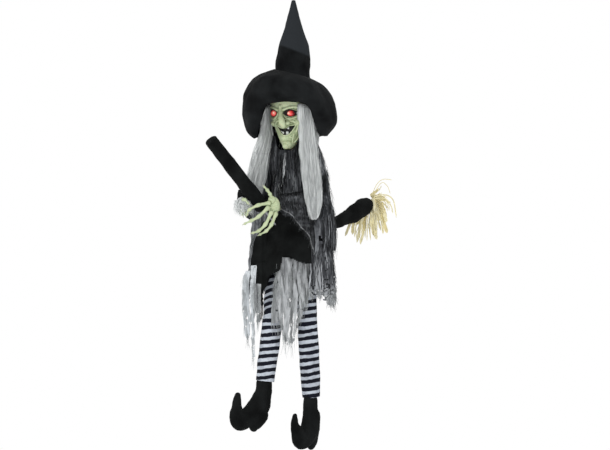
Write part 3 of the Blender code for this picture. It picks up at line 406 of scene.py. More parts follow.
def level(height):
    """A place for a blend to start or end, at a height above the lowest sole."""
    return (0, 0, height + SOLE_Z)


def link(name, data):
    """A new object in the scene, for a mesh, a lamp or the camera."""
    obj = bpy.data.objects.new(name, data)
    bpy.context.scene.collection.objects.link(obj)
    return obj


def show(name, mesh, look):
    """A smooth object in one of the LOOKS."""
    mesh.shade_smooth()
    mesh.materials.append(LOOKS[look])
    return link(name, mesh)


def lowered_mesh(name, points, faces):
    """A mesh in the frame's coordinates from points in figure coordinates."""
    mesh = bpy.data.meshes.new(name)
    mesh.from_pydata((points + np.array((0.0, 0.0, SOLE_Z))).tolist(), [], faces)
    return mesh


def attach(mesh, values):
    """Gives the points of a mesh the values that its material reads."""
    for key, per_point in values.items():
        layer = mesh.attributes.new(key, "FLOAT", "POINT")
        layer.data.foreach_set("value", np.asarray(per_point, np.float32))


def show_clay(name, bm, look):
    """An object straight from clay in figure coordinates, without melting it."""
    bmesh.ops.translate(bm, verts=bm.verts, vec=(0, 0, SOLE_Z))
    mesh = bpy.data.meshes.new(name)
    bm.to_mesh(mesh)
    bm.free()
    return show(name, mesh, look)


def build(name, points, faces, look, values=None):
    """An object from points in figure coordinates, with only the points that its faces use."""
    faces = np.asarray(faces)
    used, numbers = np.unique(faces, return_inverse=True)
    points = np.asarray(points, float).reshape(-1, 3)[used]
    mesh = lowered_mesh(name, points, numbers.reshape(faces.shape).tolist())
    attach(mesh, {key: np.ravel(per_point)[used] for key, per_point in (values or {}).items()})
    return show(name, mesh, look)


def quads(rows, columns, around=False, keep=None):
    """The quads of a grid of points, as point numbers. Keep says which of them stay."""
    row, column = np.mgrid[0:rows - 1, 0:columns if around else columns - 1]
    after = (column + 1) % columns
    found = np.stack([row * columns + column, row * columns + after, (row + 1) * columns + after,
                      (row + 1) * columns + column], -1)
    return found.reshape(-1, 4) if keep is None else found[keep]


def sheet(name, points, look, keep=None, around=False, values=None):
    """An object from a grid of points. Around closes it like a pipe."""
    rows, columns = points.shape[:2]
    return build(name, points, quads(rows, columns, around, keep), look, values)


def tubes(name, lines, radii, look, sides=3, seed=0):
    """A tapered tube along each line, closed when it has three sides. Lines is (tubes, points, 3)."""
    lines = np.asarray(lines, float)
    count, length = lines.shape[:2]
    way = np.gradient(lines, axis=1)
    way /= np.linalg.norm(way, axis=2, keepdims=True) + 1e-12
    pick = np.random.default_rng(seed).normal(size=(count, 1, 3))
    side = np.cross(way, np.broadcast_to(pick, way.shape))
    side /= np.linalg.norm(side, axis=2, keepdims=True) + 1e-12
    other = np.cross(way, side)
    turns = np.arange(sides) * math.tau / sides
    ring = side[:, :, None] * np.cos(turns)[:, None] + other[:, :, None] * np.sin(turns)[:, None]
    points = lines[:, :, None] + ring * np.asarray(radii)[:, :, None, None]
    starts = np.arange(count)[:, None, None] * length * sides
    faces = (quads(length, sides, around=True)[None] + starts).reshape(-1, 4).tolist()
    if sides == 3:
        caps = np.array([[0, 2, 1], [0, 1, 2]]) + np.array([[0], [(length - 1) * sides]])
        faces += (caps[None] + starts).reshape(-1, 3).tolist()
    return show(name, lowered_mesh(name, points.reshape(-1, 3), faces), look)


def swept(line, turns, beside=(0.0, 0.0, 1.0), steady=0):
    """Rings round a line of (x, y, height, radius). The first steady rings lie like the next one."""
    way = np.gradient(line[:, :3], axis=0)
    way /= np.linalg.norm(way, axis=1, keepdims=True)
    across = np.cross(way, beside)
    across[:steady] = across[steady]
    across /= np.linalg.norm(across, axis=1, keepdims=True)
    up = np.cross(across, way)
    radius = line[:, 3][:, None, None]
    return line[:, None, :3] + radius * (across[:, None] * np.cos(turns)[None, :, None]
                                         + up[:, None] * np.sin(turns)[None, :, None])


def finish_piece(obj, body, stands_for=()):
    """Says which body a piece rides and hides the nodes that it replaces."""
    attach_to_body(obj, body)
    if stands_for:
        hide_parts(*stands_for)


# ---------------------------------------------------------------- clay

def lump(bm, centre, radii, turn=None):
    """A ball of clay, stretched and turned."""
    matrix = Matrix.Translation(centre)
    if turn is not None:
        matrix = matrix @ turn
    bmesh.ops.create_uvsphere(bm, u_segments=24, v_segments=16, radius=1.0,
                              matrix=matrix @ Matrix.Diagonal((*radii, 1.0)))


def skin(bm, rings):
    """Faces between rings of points, and over the first and the last ring."""
    for first, second in zip(rings, rings[1:]):
        for side in range(len(first)):
            after = (side + 1) % len(first)
            bm.faces.new((first[side], first[after], second[after], second[side]))
    bm.faces.new(rings[0][::-1])
    bm.faces.new(rings[-1])


def roll(bm, points, count=24, sides=12):
    """A roll of clay through (x, y, height, radius) points."""
    line = curve(points, count)
    way = np.gradient(line[:, :3], axis=0)
    rings = []
    turn = Vector(way[0]).to_track_quat("Z", "Y")
    for (x, y, height, radius), direction in zip(line, way):
        turn = (turn @ Vector((0, 0, 1))).rotation_difference(Vector(direction)) @ turn
        centre = Vector((x, y, height))
        rings.append([bm.verts.new(centre + turn @ Vector((math.cos(math.tau * side / sides) * radius,
                                                           math.sin(math.tau * side / sides) * radius, 0.0)))
                      for side in range(sides)])
    skin(bm, rings)
    for end in (line[0], line[-1]):
        bmesh.ops.create_uvsphere(bm, u_segments=sides, v_segments=8, radius=end[3] * 0.98,
                                  matrix=Matrix.Translation(end[:3]))


def clay(bm, voxel, smoothing):
    """The lumps and rolls melted into one skin: its points in figure coordinates and its faces."""
    bmesh.ops.recalc_face_normals(bm, faces=bm.faces)
    mesh = bpy.data.meshes.new("clay")
    bm.to_mesh(mesh)
    bm.free()
    obj = link("clay", mesh)
    melt = obj.modifiers.new("melt", "REMESH")
    melt.mode = "VOXEL"
    melt.voxel_size = voxel
    soften = obj.modifiers.new("soften", "SMOOTH")
    soften.factor = 0.5
    soften.iterations = smoothing
    bpy.context.view_layer.update()
    melted = obj.evaluated_get(bpy.context.evaluated_depsgraph_get()).to_mesh()
    points = np.empty(len(melted.vertices) * 3)
    melted.vertices.foreach_get("co", points)
    faces = [list(face.vertices) for face in melted.polygons]
    bpy.data.objects.remove(obj)
    return points.reshape(-1, 3), faces


def build_clay(name, points, faces, look, painted=None, passes=3):
    """A clay piece with what its material reads: how hollow each point lies, for painted shade and
    highlights, and what is painted.
    """
    mesh = lowered_mesh(name, points, faces)
    ends = np.empty(len(mesh.edges) * 2, int)
    mesh.edges.foreach_get("vertices", ends)
    ends = ends.reshape(-1, 2)
    normals = np.empty(len(points) * 3)
    mesh.vertices.foreach_get("normal", normals)
    degree = np.maximum(np.bincount(ends.ravel(), minlength=len(points)), 1)

    def spread(values):
        total = np.zeros_like(values)
        np.add.at(total, ends[:, 0], values[ends[:, 1]])
        np.add.at(total, ends[:, 1], values[ends[:, 0]])
        return total / (degree[:, None] if values.ndim > 1 else degree)

    around = points
    for _ in range(passes):
        around = spread(around)
    depth = ((around - points) * normals.reshape(-1, 3)).sum(axis=1)
    depth = spread(spread(depth))
    hollow = np.clip(0.35 + depth / (4 * depth.std() + 1e-12), 0.0, 1.0)
    attach(mesh, {"hollow": hollow, **(painted or {})})
    return show(name, mesh, look)


# ---------------------------------------------------------------- head

def face_shift(height):
    """How far the face sits towards her left at one height."""
    return FACE_SHIFT * ease((EYES["left"][2] - height) / 0.05)


def face_y(x, height):
    """The depth of the plain face, before its features, at one place."""
    half_width, front, _ = read(HEAD, height)
    share = np.clip((x - face_shift(height)) / half_width, -0.98, 0.98)
    return HEAD_Y - front * np.sqrt(1 - share ** 2)


def on_face(x, height, out, radius):
    """A place for a roll of clay, proud of the plain face."""
    return (x, float(face_y(x, height)) - out, height, radius)


def mouth_lines(x):
    """The heights of the grin's lower and upper edges at one x."""
    share = np.clip((x - MOUTH[0]) / (MOUTH[1] - MOUTH[0]), 0.0, 1.0)
    upper = 1.0680 + 0.0120 * (2 * share - 1) ** 2
    lower = upper - 0.0215 * np.sin(math.pi * share ** 1.35)
    upper = upper + 0.0050 * np.exp(-((share - 0.78) / 0.13) ** 2)
    return lower, upper


def plain_head(bm, rows=36, sides=40):
    """Adds the closed egg of the head to the clay, without its features."""
    rings = []
    for height in np.linspace(HEAD[0][0], HEAD[-1][0], rows):
        half_width, front, back = read(HEAD, height)
        ring = []
        for turn in all_round(sides):
            cos = math.cos(turn)
            shift = face_shift(height) * max(0.0, cos) ** 0.5
            depth = front if cos > 0 else 0.55 * back
            ring.append(bm.verts.new((half_width * math.sin(turn) + shift, HEAD_Y - depth * cos, height)))
        rings.append(ring)
    skin(bm, rings)


# Rolls of clay on the face: across, height, how proud, and radius. These four are on both sides:
# the brow, the upper and the lower eyelid, and the bag under the eye.
ROUND_EYES = (
    ((0.004, 1.128, -0.001, 0.0044), (0.015, 1.133, 0.001, 0.0046), (0.031, 1.139, 0.000, 0.0044),
     (0.045, 1.141, -0.001, 0.0036), (0.056, 1.137, -0.002, 0.0028)),
    ((0.010, 1.117, 0.001, 0.0020), (0.018, 1.127, 0.002, 0.0024), (0.031, 1.132, 0.004, 0.0026),
     (0.043, 1.130, 0.003, 0.0024), (0.053, 1.121, 0.001, 0.0018)),
    ((0.009, 1.117, 0.001, 0.0020), (0.019, 1.105, 0.002, 0.0026), (0.031, 1.101, 0.003, 0.0028),
     (0.045, 1.106, 0.002, 0.0024), (0.056, 1.118, 0.001, 0.0020)),
    ((0.015, 1.100, 0.000, 0.0024), (0.030, 1.094, 0.001, 0.0030), (0.047, 1.100, 0.000, 0.0024)))
# The long nose, from the brow down to its hooked tip.
NOSE = ((0.000, 1.142, -0.001, 0.0066), (0.002, 1.126, 0.003, 0.0070), (0.006, 1.110, 0.009, 0.0080),
        (0.011, 1.099, 0.016, 0.0098), (0.015, 1.089, 0.021, 0.0108), (0.018, 1.080, 0.021, 0.0094),
        (0.019, 1.074, 0.017, 0.0060))
# The folds from the nose to the corners of the grin, and the drawn skin of the cheeks.
FOLDS = (
    ((0.032, 1.094, 0.002, 0.0030), (0.044, 1.090, 0.002, 0.0038), (0.051, 1.076, 0.001, 0.0032),
     (0.046, 1.058, 0.001, 0.0028)),
    ((0.002, 1.094, 0.002, 0.0030), (-0.014, 1.093, 0.002, 0.0038), (-0.026, 1.080, 0.001, 0.0032),
     (-0.020, 1.060, 0.001, 0.0028)),
    ((0.058, 1.098, 0.000, 0.0024), (0.058, 1.075, 0.001, 0.0030), (0.049, 1.046, 0.001, 0.0030),
     (0.036, 1.024, 0.001, 0.0024)),
    ((-0.040, 1.095, 0.000, 0.0024), (-0.034, 1.073, 0.001, 0.0030), (-0.024, 1.048, 0.001, 0.0028),
     (-0.010, 1.026, 0.001, 0.0024)),
    ((0.040, 1.050, 0.000, 0.0022), (0.036, 1.036, 0.001, 0.0026), (0.030, 1.018, 0.001, 0.0022)))


def face_clay():
    """The head with its features, melted into one skin."""
    bm = bmesh.new()
    plain_head(bm)
    for sign in (1, -1):
        for points in ROUND_EYES:
            roll(bm, [on_face(sign * x, height, out, radius) for x, height, out, radius in points])
        cheek_x = sign * 0.041 + 0.005
        lump(bm, (cheek_x, float(face_y(cheek_x, 1.090)) + 0.006, 1.088), (0.013, 0.012, 0.012))
        wing = (0.0160 + sign * 0.0105, float(face_y(0.0160, 1.086)) - 0.004, 1.0865)
        lump(bm, wing, (0.0086, 0.0095, 0.0070))
    roll(bm, [on_face(*point) for point in NOSE], 36, 14)
    for points in FOLDS:
        roll(bm, [on_face(*point) for point in points])
    # The lips.
    for edge, lift, radius in ((0, -0.0012, 0.0028), (1, 0.0012, 0.0022)):
        roll(bm, [on_face(float(x), float(mouth_lines(x)[edge]) + lift, 0.0012, radius)
                  for x in np.linspace(MOUTH[0] - 0.001, MOUTH[1] + 0.001, 9)])
    # The long chin, and a wart beside it.
    lump(bm, (0.0145, -0.082, 1.019), (0.0165, 0.019, 0.0165))
    lump(bm, (0.0145, -0.090, 1.012), (0.0110, 0.014, 0.0110))
    lump(bm, on_face(0.033, 1.040, 0.001, 0.0)[:3], (0.0026, 0.0026, 0.0026))
    return clay(bm, voxel=0.0011, smoothing=11)


def face():
    """The vinyl mask. Its sockets and its grin are pressed in and painted black, and its brow carries painted
    light against the brim's shade.
    """
    points, faces = face_clay()
    x, y, height = points.T
    front = ease((HEAD_Y - 0.030 - y) / 0.01)
    black = np.zeros(len(points))
    for sign in (1, -1):
        across = (x - sign * (EYES["left"][0] + 0.0027)) / SOCKET[0]
        up = (height - EYES["left"][2] - 0.0005) / SOCKET[1]
        socket = np.abs(across) ** 1.7 + np.abs(up) ** 1.7
        black = np.maximum(black, ease((1.12 - socket) / 0.16) * front)
        points[:, 1] += 0.0075 * ease((0.9 - socket) / 0.5) * front
    lower, upper = mouth_lines(x)
    inside = np.minimum(height - lower, upper - height) / 0.0016
    across_mouth = (x > MOUTH[0]) * (x < MOUTH[1])
    points[:, 1] += 0.012 * (ease(inside) * front * across_mouth)
    black = np.maximum(black, ease((inside + 0.5) / 0.8) * front * across_mouth)
    points += bumps(points, 0.006, 3) * 0.0005
    middle = [sum(points[corner][1] for corner in one) / len(one) for one in faces]
    faces = [one for one, depth in zip(faces, middle) if depth < HEAD_Y - 0.0005]
    # Painted light on the brow, which lifts the forehead out of the shade of the brim.
    brow = ease((points[:, 2] - 1.130) / 0.016) * front * 0.9
    obj = build_clay("witch_face", points, faces, "vinyl", {"black": black, "light": brow})
    bm = bmesh.new()
    bm.from_mesh(obj.data)
    bmesh.ops.delete(bm, geom=[vert for vert in bm.verts if not vert.link_faces], context="VERTS")
    bm.to_mesh(obj.data)
    bm.free()
    finish_piece(obj, "head", ["face_mask"])


def teeth():
    """Crooked teeth, each a rounded peg in the grin: x, middle height, width, length and lean."""
    bm = bmesh.new()
    pegs = ((-0.0010, 1.0565, 0.0056, 0.0090, 8), (0.0060, 1.0540, 0.0060, 0.0095, 3),
            (0.0210, 1.0535, 0.0090, 0.0120, -4), (0.0240, 1.0705, 0.0066, 0.0070, 5))
    for x, height, width, length, lean in pegs:
        place = Matrix.Translation((x, float(face_y(x, height)) + 0.0040, height))
        turn = Matrix.Rotation(math.radians(lean), 4, "Y")
        size = Matrix.Diagonal((width, 0.0045, length, 1.0))
        made = bmesh.ops.create_cube(bm, size=1.0, matrix=place @ turn @ size)
        edges = list({edge for vert in made["verts"] for edge in vert.link_edges})
        bmesh.ops.bevel(bm, geom=edges, offset=0.0013, segments=3, affect="EDGES")
    finish_piece(show_clay("teeth", bm, "teeth"), "head", ["mouth_insert"])


def eyes():
    """Domed red lenses. Core tells the material how near a point is to the hot middle."""
    for side, (x, y, height) in EYES.items():
        if side == "left":
            x, height = x - 0.0015, height - 0.0020
        bm = bmesh.new()
        place = Matrix.Translation((x, y, height)) @ Matrix.Diagonal((0.90, 0.78, 0.72, 1))
        bmesh.ops.create_uvsphere(bm, u_segments=48, v_segments=32, radius=EYE_R, matrix=place)
        points = np.array([vert.co for vert in bm.verts])
        faces = [[vert.index for vert in one.verts] for one in bm.faces]
        bm.free()
        away = np.hypot(points[:, 0] - x + (0.003 if x > 0 else -0.001), points[:, 2] - height - 0.002)
        core = np.clip(1 - away / EYE_R, 0, 1) * (points[:, 1] < y)
        mesh = lowered_mesh(f"lit_eye_{side}", points, faces)
        attach(mesh, {"core": core})
        finish_piece(show(f"lit_eye_{side}", mesh, "lens"), "head", [f"eye_lens_{side}"])


def seen_across(points):
    """How far points lie across the side that the pose faces."""
    return points[..., 0] * math.cos(VIEW_TURN) + points[..., 1] * math.sin(VIEW_TURN)


def thicken(obj, thickness):
    """Gives a sheet the thickness of its felt."""
    wall = obj.modifiers.new("felt", "SOLIDIFY")
    wall.thickness = thickness


def hat():
    """A tall felt cone over a wide brim that droops at the sides and is drawn up over the face."""
    crown = ((1.4985, 0.0046, 0.0046, 0.0), (1.427, 0.0228, 0.0228, 0.0), (1.383, 0.0362, 0.0362, 0.0),
             (1.347, 0.0482, 0.0482, 0.0), (1.310, 0.0549, 0.0549, -0.002), (1.283, 0.0572, 0.0572, -0.006),
             (1.260, 0.0560, 0.0572, -0.010), (1.235, 0.0602, 0.0682, -0.015),
             (1.200, 0.0662, 0.0822, -0.021), (1.168, 0.0692, 0.0892, HEAD_Y))
    heights = np.linspace(crown[0][0], crown[-1][0], 150)
    turns = all_round(120)
    half_width, half_depth, middle = read(crown, heights)
    turn, height = np.meshgrid(turns, heights)
    seam = 0.0011 * np.exp(-((np.cos(turn - math.radians(70)) - 1) / 0.0012) ** 2)
    grow = 1.0 + seam / half_width[:, None]
    points = np.stack([half_width[:, None] * grow * np.sin(turn),
                       middle[:, None] - half_depth[:, None] * grow * np.cos(turn), height], -1)
    dents = bumps(points, 0.05, 11) * 0.0028 + bumps(points, 0.016, 12) * 0.0008
    dents[..., 2] = 0.0
    fade = np.clip((crown[0][0] - heights) / 0.05, 0.15, 1.0)[:, None, None]
    points = points + dents * fade
    # Painted light: the crown is painted greyer above a line that slants across the view, where the light
    # falls on its upper part.
    painted_light = ease((points[..., 2] - 1.328 + 0.40 * (seen_across(points) + 0.005)) / 0.010)
    cone = sheet("hat_crown_felt", points, "hat_felt", around=True, values={"painted_light": painted_light})
    thicken(cone, 0.0016)
    finish_piece(cone, "head", ["hat_cone"])

    # The brim where it droops most: how far out, and the height. It is lifted over the face.
    brim = ((0.0600, 1.262), (0.083, 1.250), (0.106, 1.236), (0.126, 1.214), (0.142, 1.186),
            (0.152, 1.152), (0.1545, 1.118), (0.150, 1.085), (0.140, 1.060), (0.122, 1.042))
    root_radius, root_height = brim[0]
    low_side = math.radians(115)
    profile = curve(brim, 70)
    turns = all_round(200)
    away = np.abs((np.degrees(turns) - 20 + 180) % 360 - 180)
    lifted = 1.0 - (0.535 - 0.040 * np.minimum(away / 30, 1.0) ** 2) * ease((62.0 - away) / 32.0)
    radius, height = profile[:, 0][:, None], profile[:, 1][:, None]
    middle = -0.010 - 0.020 * np.clip((radius - root_radius) / 0.07, 0.0, 1.0)
    fall = 0.12 * np.clip((height - 1.060) / 0.090, 0.0, 1.0) * radius * np.cos(turns - low_side)
    settle = np.clip((0.150 - radius) / 0.090, 0.0, 1.0) * (0.010 + 0.008 * np.cos(turns - low_side))
    beside = np.clip(np.cos(turns - low_side), 0.0, 1.0)
    raised = 0.012 * np.clip((1.100 - height) / 0.058, 0.0, 1.0) * beside
    drop = (root_height - height) * lifted[None] + fall + settle - raised
    points = np.stack([radius * np.sin(turns), middle - radius * np.cos(turns), root_height - drop], -1)
    out = ease(np.linspace(0, 1, len(profile)) * 2)[:, None, None]
    points += bumps(points, 0.045, 21) * 0.005 * out + bumps(points, 0.014, 22) * 0.0010 * out
    felt = sheet("hat_brim_felt", points, "hat_felt", around=True)
    thicken(felt, 0.0022)
    finish_piece(felt, "head", ["hat_brim"])


def hair(count=900, length=26):
    """Long loose strands in two curtains beside the face and one behind."""
    # The curtains: height, middle across and in depth, and half-width.
    left = ((1.150, 0.0730, -0.0620, 0.022), (1.100, 0.0720, -0.0615, 0.0235),
            (1.040, 0.0770, -0.0590, 0.024), (0.975, 0.0840, -0.0600, 0.026),
            (0.933, 0.0915, -0.0660, 0.027), (0.867, 0.1070, -0.0800, 0.026),
            (0.817, 0.1180, -0.0950, 0.022), (0.792, 0.1205, -0.1010, 0.016),
            (0.768, 0.1225, -0.1030, 0.007))
    right = ((1.150, -0.0745, -0.045, 0.020), (1.100, -0.076, -0.048, 0.021),
             (1.040, -0.0755, -0.058, 0.0285), (0.975, -0.091, -0.067, 0.028),
             (0.920, -0.0980, -0.077, 0.029), (0.850, -0.106, -0.092, 0.028))
    for side, table, first, last, seed in (("left", left, 45, 25, 31), ("right", right, 110, 25, 32)):
        rng = np.random.default_rng(seed)
        across = rng.uniform(-1, 1, (count, 1))
        layer = rng.normal(0, 0.0040, (count, 1))
        end = table[-1][0] + np.abs(rng.normal(0, 0.022, (count, 1)))
        height = table[0][0] - (table[0][0] - end) * np.linspace(0, 1, length)[None]
        x, y, half = read(table, height)
        share = (table[0][0] - height) / (table[0][0] - table[-1][0])
        turn = np.radians(first + (last - first) * share)
        reach = across * half + layer * 0.5
        lines = np.stack([x + reach * np.cos(turn) + layer * np.sin(turn),
                          y + reach * np.sin(turn) - layer * np.cos(turn), height], -1)
        hair_strands(lines, f"hair_strands_{side}", "hair", [f"hair_{side}"], rng, seed)
    rng = np.random.default_rng(33)
    turn = np.radians(rng.uniform(108, 252, (count, 1)))
    out = 0.078 + rng.normal(0, 0.0035, (count, 1))
    end = 0.825 + np.abs(rng.normal(0, 0.035, (count, 1)))
    height = 1.150 - (1.150 - end) * np.linspace(0, 1, length)[None]
    lines = np.stack([out * np.sin(turn) + 0 * height, -0.004 - out * np.cos(turn) + 0 * height,
                      height], -1)
    hair_strands(lines, "hair_strands_back", "hair", ["hair_back"], rng, 33)


def hair_strands(lines, name, look, stands_for, rng, seed):
    """Waves each strand a little more towards its end, and makes them one piece."""
    count, length = lines.shape[:2]
    share = np.linspace(0, 1, length)[None, :, None]
    swell = rng.normal(0, 1, (count, 1, 3)) * np.array((0.0014, 0.0012, 0.0))
    phase = rng.uniform(0, math.tau, (count, 1, 1))
    lines = lines + swell * np.sin(phase + share * rng.uniform(3, 8, (count, 1, 1))) * (0.25 + share)
    lines = crumpled(lines, 0.03, 0.0035, seed)
    radii = 0.0010 * (1.0 - 0.5 * share[..., 0]) * rng.uniform(0.5, 1.2, (count, 1))
    obj = tubes(name, lines, radii, look, seed=seed)
    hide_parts(*stands_for)
    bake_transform(obj)


# ---------------------------------------------------------------- cloth

def robe(turn, height, out=0.0, table=ROBE, middle=0.0):
    """A point of the robe. Turn is 0 in front and grows to her left; out is outward."""
    half_width, half_depth = read(table, height)
    return np.stack([(half_width + out) * np.sin(turn), middle - (half_depth + out) * np.cos(turn),
                     height + 0 * turn], -1)


def cells(points):
    """The middles of the cells of a grid of points."""
    return (points[:-1, :-1] + points[1:, 1:]) / 2


def whole(points):
    """Every cell of a grid of points, marked as one that stays."""
    return np.ones((points.shape[0] - 1, points.shape[1] - 1), bool)


def holes(points, size, share, seed):
    """Which cells stay: gaps of about size metres take a share, which may change from row to row."""
    level = bumps(cells(points), size, seed)[..., 0]
    order = np.sort(level.ravel())
    limit = order[(np.clip(share, 0, 0.99) * (len(order) - 1)).astype(int)]
    return level > limit


def ragged(points, longest, shortest, seed, strip=0.012):
    """Which cells stay above a torn hem: each strip of cloth ends at a length of its own."""
    rows, columns = points.shape[0] - 1, points.shape[1] - 1
    rng = np.random.default_rng(seed)
    width = np.linalg.norm(points[0, 1:] - points[0, :-1], axis=1).mean()
    per_strip = max(1, int(strip / width))
    ends = rng.uniform(shortest, longest, columns // per_strip + 2)
    end = np.interp(np.arange(columns) / per_strip, np.arange(len(ends)), ends)
    end += rng.uniform(-0.02, 0.02, columns)
    return (np.arange(rows) / rows)[:, None] < end[None]


def slits(points, count, start, seed):
    """Which cells stay beside narrow upright tears from start, a share of the way down."""
    rng = np.random.default_rng(seed)
    keep = whole(points)
    rows, columns = keep.shape
    for column in rng.integers(1, columns - 1, count):
        top = int(rows * rng.uniform(start, 0.95))
        low = min(rows, top + int(rows * rng.uniform(0.1, 0.4)))
        keep[top:low, column:column + 1] = False
    return keep


def above(points, hem, seed, rough=0.012):
    """Which cells stay above a hem that is given as heights at places across, and is a bit uneven."""
    places, heights = np.array(hem).T
    middle = cells(points)
    uneven = bumps(middle * np.array((1.0, 1.0, 0.1)), 0.012, seed)[..., 0] * rough
    return middle[..., 2] > np.interp(seen_across(middle), places, heights) + uneven


def torn(points, seed, hem=(0.85, 1.0), gaps=(0.0, 0.15), tears=0.2, strip=0.012, hole=0.012):
    """Which cells of a sheet stay: gaps grow on the way down, and tears and a ragged hem cut it."""
    rows, columns = points.shape[0] - 1, points.shape[1] - 1
    down = ease((np.arange(rows) / rows - 0.5) / 0.45)[:, None]
    keep = holes(points, hole, gaps[0] + (gaps[1] - gaps[0]) * down, seed + 2)
    keep &= ragged(points, hem[1], hem[0], seed + 3, strip)
    return keep & slits(points, int(columns * tears), 0.5, seed + 4)


def hang_cloth(made, width, length, rests_on=("torso_foam",), held="hung", spare=1.05, least=0.32):
    """Works out the rectangle that a cloth was cut from, with a little to spare, and what is left of it;
    nothing is declared or returned.
    """
    left = sum(face.area for face in made.data.polygons)
    width = max(width, spare * left / length)


def robe_cover(name, points, look, flat, slot="gauze", stands_for=(), rests_on=("torso_foam",),
               held="hung", **shape):
    """A grid of points as a finished cloth that rides with the body. Flat is its width and length."""
    made = sheet(name, points, look, **shape)
    finish_piece(made, "root", stands_for)
    hang_cloth(made, *flat, rests_on, held)


def fuzz(name, look, points, keep, count, reach, seed, radius=0.0005, towards=None):
    """Loose fibres that lie along a sheet and hang past its hem, each from a place of its own."""
    rng = np.random.default_rng(seed)
    rows, length = points.shape[0], 10
    spots = np.argwhere(keep)
    row, column = spots[rng.integers(0, len(spots), count)].T
    spacing = abs(points[0, 0, 2] - points[-1, 0, 2]) / (rows - 1)
    share = np.linspace(0, 1, length)[None]
    travel = row[:, None] + rng.uniform(0.4, 1.0, (count, 1)) * reach / spacing * share
    low = np.minimum(travel.astype(int), rows - 2)
    part = np.minimum(travel - low, 1.0)[..., None]
    lines = points[low, column[:, None]] * (1 - part) + points[low + 1, column[:, None]] * part
    lines[..., 2] -= np.maximum(travel - rows + 1, 0.0) * spacing
    out = lines * np.array((1.0, 1.0, 0.0)) if towards is None else np.broadcast_to(towards, lines.shape)
    out = out / (np.linalg.norm(out, axis=-1, keepdims=True) + 1e-9)
    lines = lines + out * rng.uniform(0.0008, 0.0035, (count, 1, 1))
    lines = lines + rng.normal(0, 1, (count, 1, 3)) * share[..., None] * np.array((1, 1, 0.2)) * STRAY
    return tubes(name, lines, radius * (1.15 - 0.75 * share) * np.ones((count, 1)), look, seed=seed)


def strips(name, look, lines, widths, seed, lay, rough=0.0016, uneven=0.2, tip=0.35):
    """Flat strips as one piece. Lines is (strips, points, 3); lay is the way each strip is wide."""
    count, length = lines.shape[:2]
    columns = 4
    lay = lay / np.linalg.norm(lay, axis=-1, keepdims=True)
    share = np.linspace(0, 1, length)
    taper = np.clip((1 + tip / 6 - share) / tip, 0.15, 1.0)
    width = widths[:, None] * taper[None] * (1 + uneven * bumps(lines, 0.03, seed)[..., 0])
    across = np.linspace(-0.5, 0.5, columns)
    points = lines[:, :, None] + lay[:, :, None] * (width[:, :, None] * across)[..., None]
    points = crumpled(points, 0.014, rough, seed + 1)
    starts = (np.arange(count) * length * columns)[:, None, None]
    faces = (quads(length, columns)[None] + starts).reshape(-1, 4)
    pale = np.broadcast_to(share[None, :, None], (count, length, columns))
    return build(name, points, faces, look, {"pale": pale})


def robe_ribbons(name, look, count, turns, tops, lows, widths, seed, out=(0.003, 0.008), table=ROBE,
                 middle=0.0, length=24):
    """Torn strips that hang over the robe, between turns in degrees."""
    rng = np.random.default_rng(seed)
    turn = np.radians(rng.uniform(*turns, (count, 1)))
    top = rng.uniform(*tops, (count, 1))
    low = np.minimum(rng.uniform(*lows, (count, 1)), top - 0.04)
    height = top - (top - low) * np.linspace(0, 1, length)[None]
    phase = rng.uniform(0, math.tau, (count, 1))
    turn = turn + 0.03 * np.sin(phase + height * rng.uniform(20, 50, (count, 1)))
    lift = rng.uniform(*out, (count, 1)) + 0.0015 * np.sin(height * 90 + rng.uniform(0, 6, (count, 1)))
    lines = robe(turn, height, lift, table, middle)
    lay = np.stack([np.cos(turn), np.sin(turn), 0.0 * turn], -1)
    widths = rng.uniform(*widths, count)
    made = strips(name, look, lines, widths, seed, lay)
    hang_cloth(made, float(widths.sum()) * 0.9, float((top - low).mean()))
    finish_piece(made, "root")


def robe_cloth(turns, top, low, seed, out, pleats, table=ROBE, middle=0.0, cell=0.0045):
    """A grid of points on the robe between two turns, in degrees, and two heights, with its width."""
    half_width, half_depth = (float(value) for value in read(table, (top + low) / 2))
    width = math.radians(abs(turns[1] - turns[0])) * (half_width + half_depth) / 2
    columns, rows = int(width / cell), int((top - low) / cell)
    turn, height = np.meshgrid(np.radians(np.linspace(*turns, columns)), np.linspace(top, low, rows))
    fold = pleats * np.sqrt((top - height) / (top - low)) * np.sin(turn * 24 + 2.2 * np.sin(turn * 5 + seed))
    points = robe(turn, height, out + fold, table, middle)
    return creased(points, seed, (0.04, 0.0035), (0.010, 0.0010)), width


def bodice():
    """The dark streaked cloth of the chest, furred with loose fibres and narrow strips."""
    turn, height = np.meshgrid(all_round(130), np.linspace(0.985, 0.755, 60))
    points = robe(turn, height, 0.002 + 0.002 * np.sin(turn * 26 + 3 * np.sin(turn * 4)))
    points = creased(points, 41, (0.03, 0.003), (0.009, 0.0010))
    light = np.exp(-((np.degrees(turn) - 22) / 26) ** 2) * ease((0.96 - height) / 0.05)
    light = light + 0.5 * ease(bumps(points, 0.022, 40)[..., 0] * 2) - 0.2
    robe_cover("bodice_cloth", points, "gauze", (0.44, 0.24), stands_for=["bodice_gauze"],
               held="gathered", around=True, values={"pale": light})
    robe_ribbons("bodice_shreds", "gauze", 70, (-180, 180), (0.88, 0.985), (0.76, 0.86),
                 (0.003, 0.008), 43)
    robe_ribbons("bodice_pale_shreds", "rag", 3, (-6, 6), (0.985, 0.990), (0.90, 0.92),
                 (0.004, 0.006), 44, (0.008, 0.011))
    for name, look, count, seed in (("bodice_fibres", "thread", 1500, 45),
                                    ("bodice_pale_fibres", "pale_thread", 220, 39)):
        fur = fuzz(name, look, points, whole(points), count, 0.045, seed)
        finish_piece(fur, "root")


def turn_with_head(obj):
    """Bakes the transform of cloth that starts under the hair into its mesh."""
    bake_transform(obj)


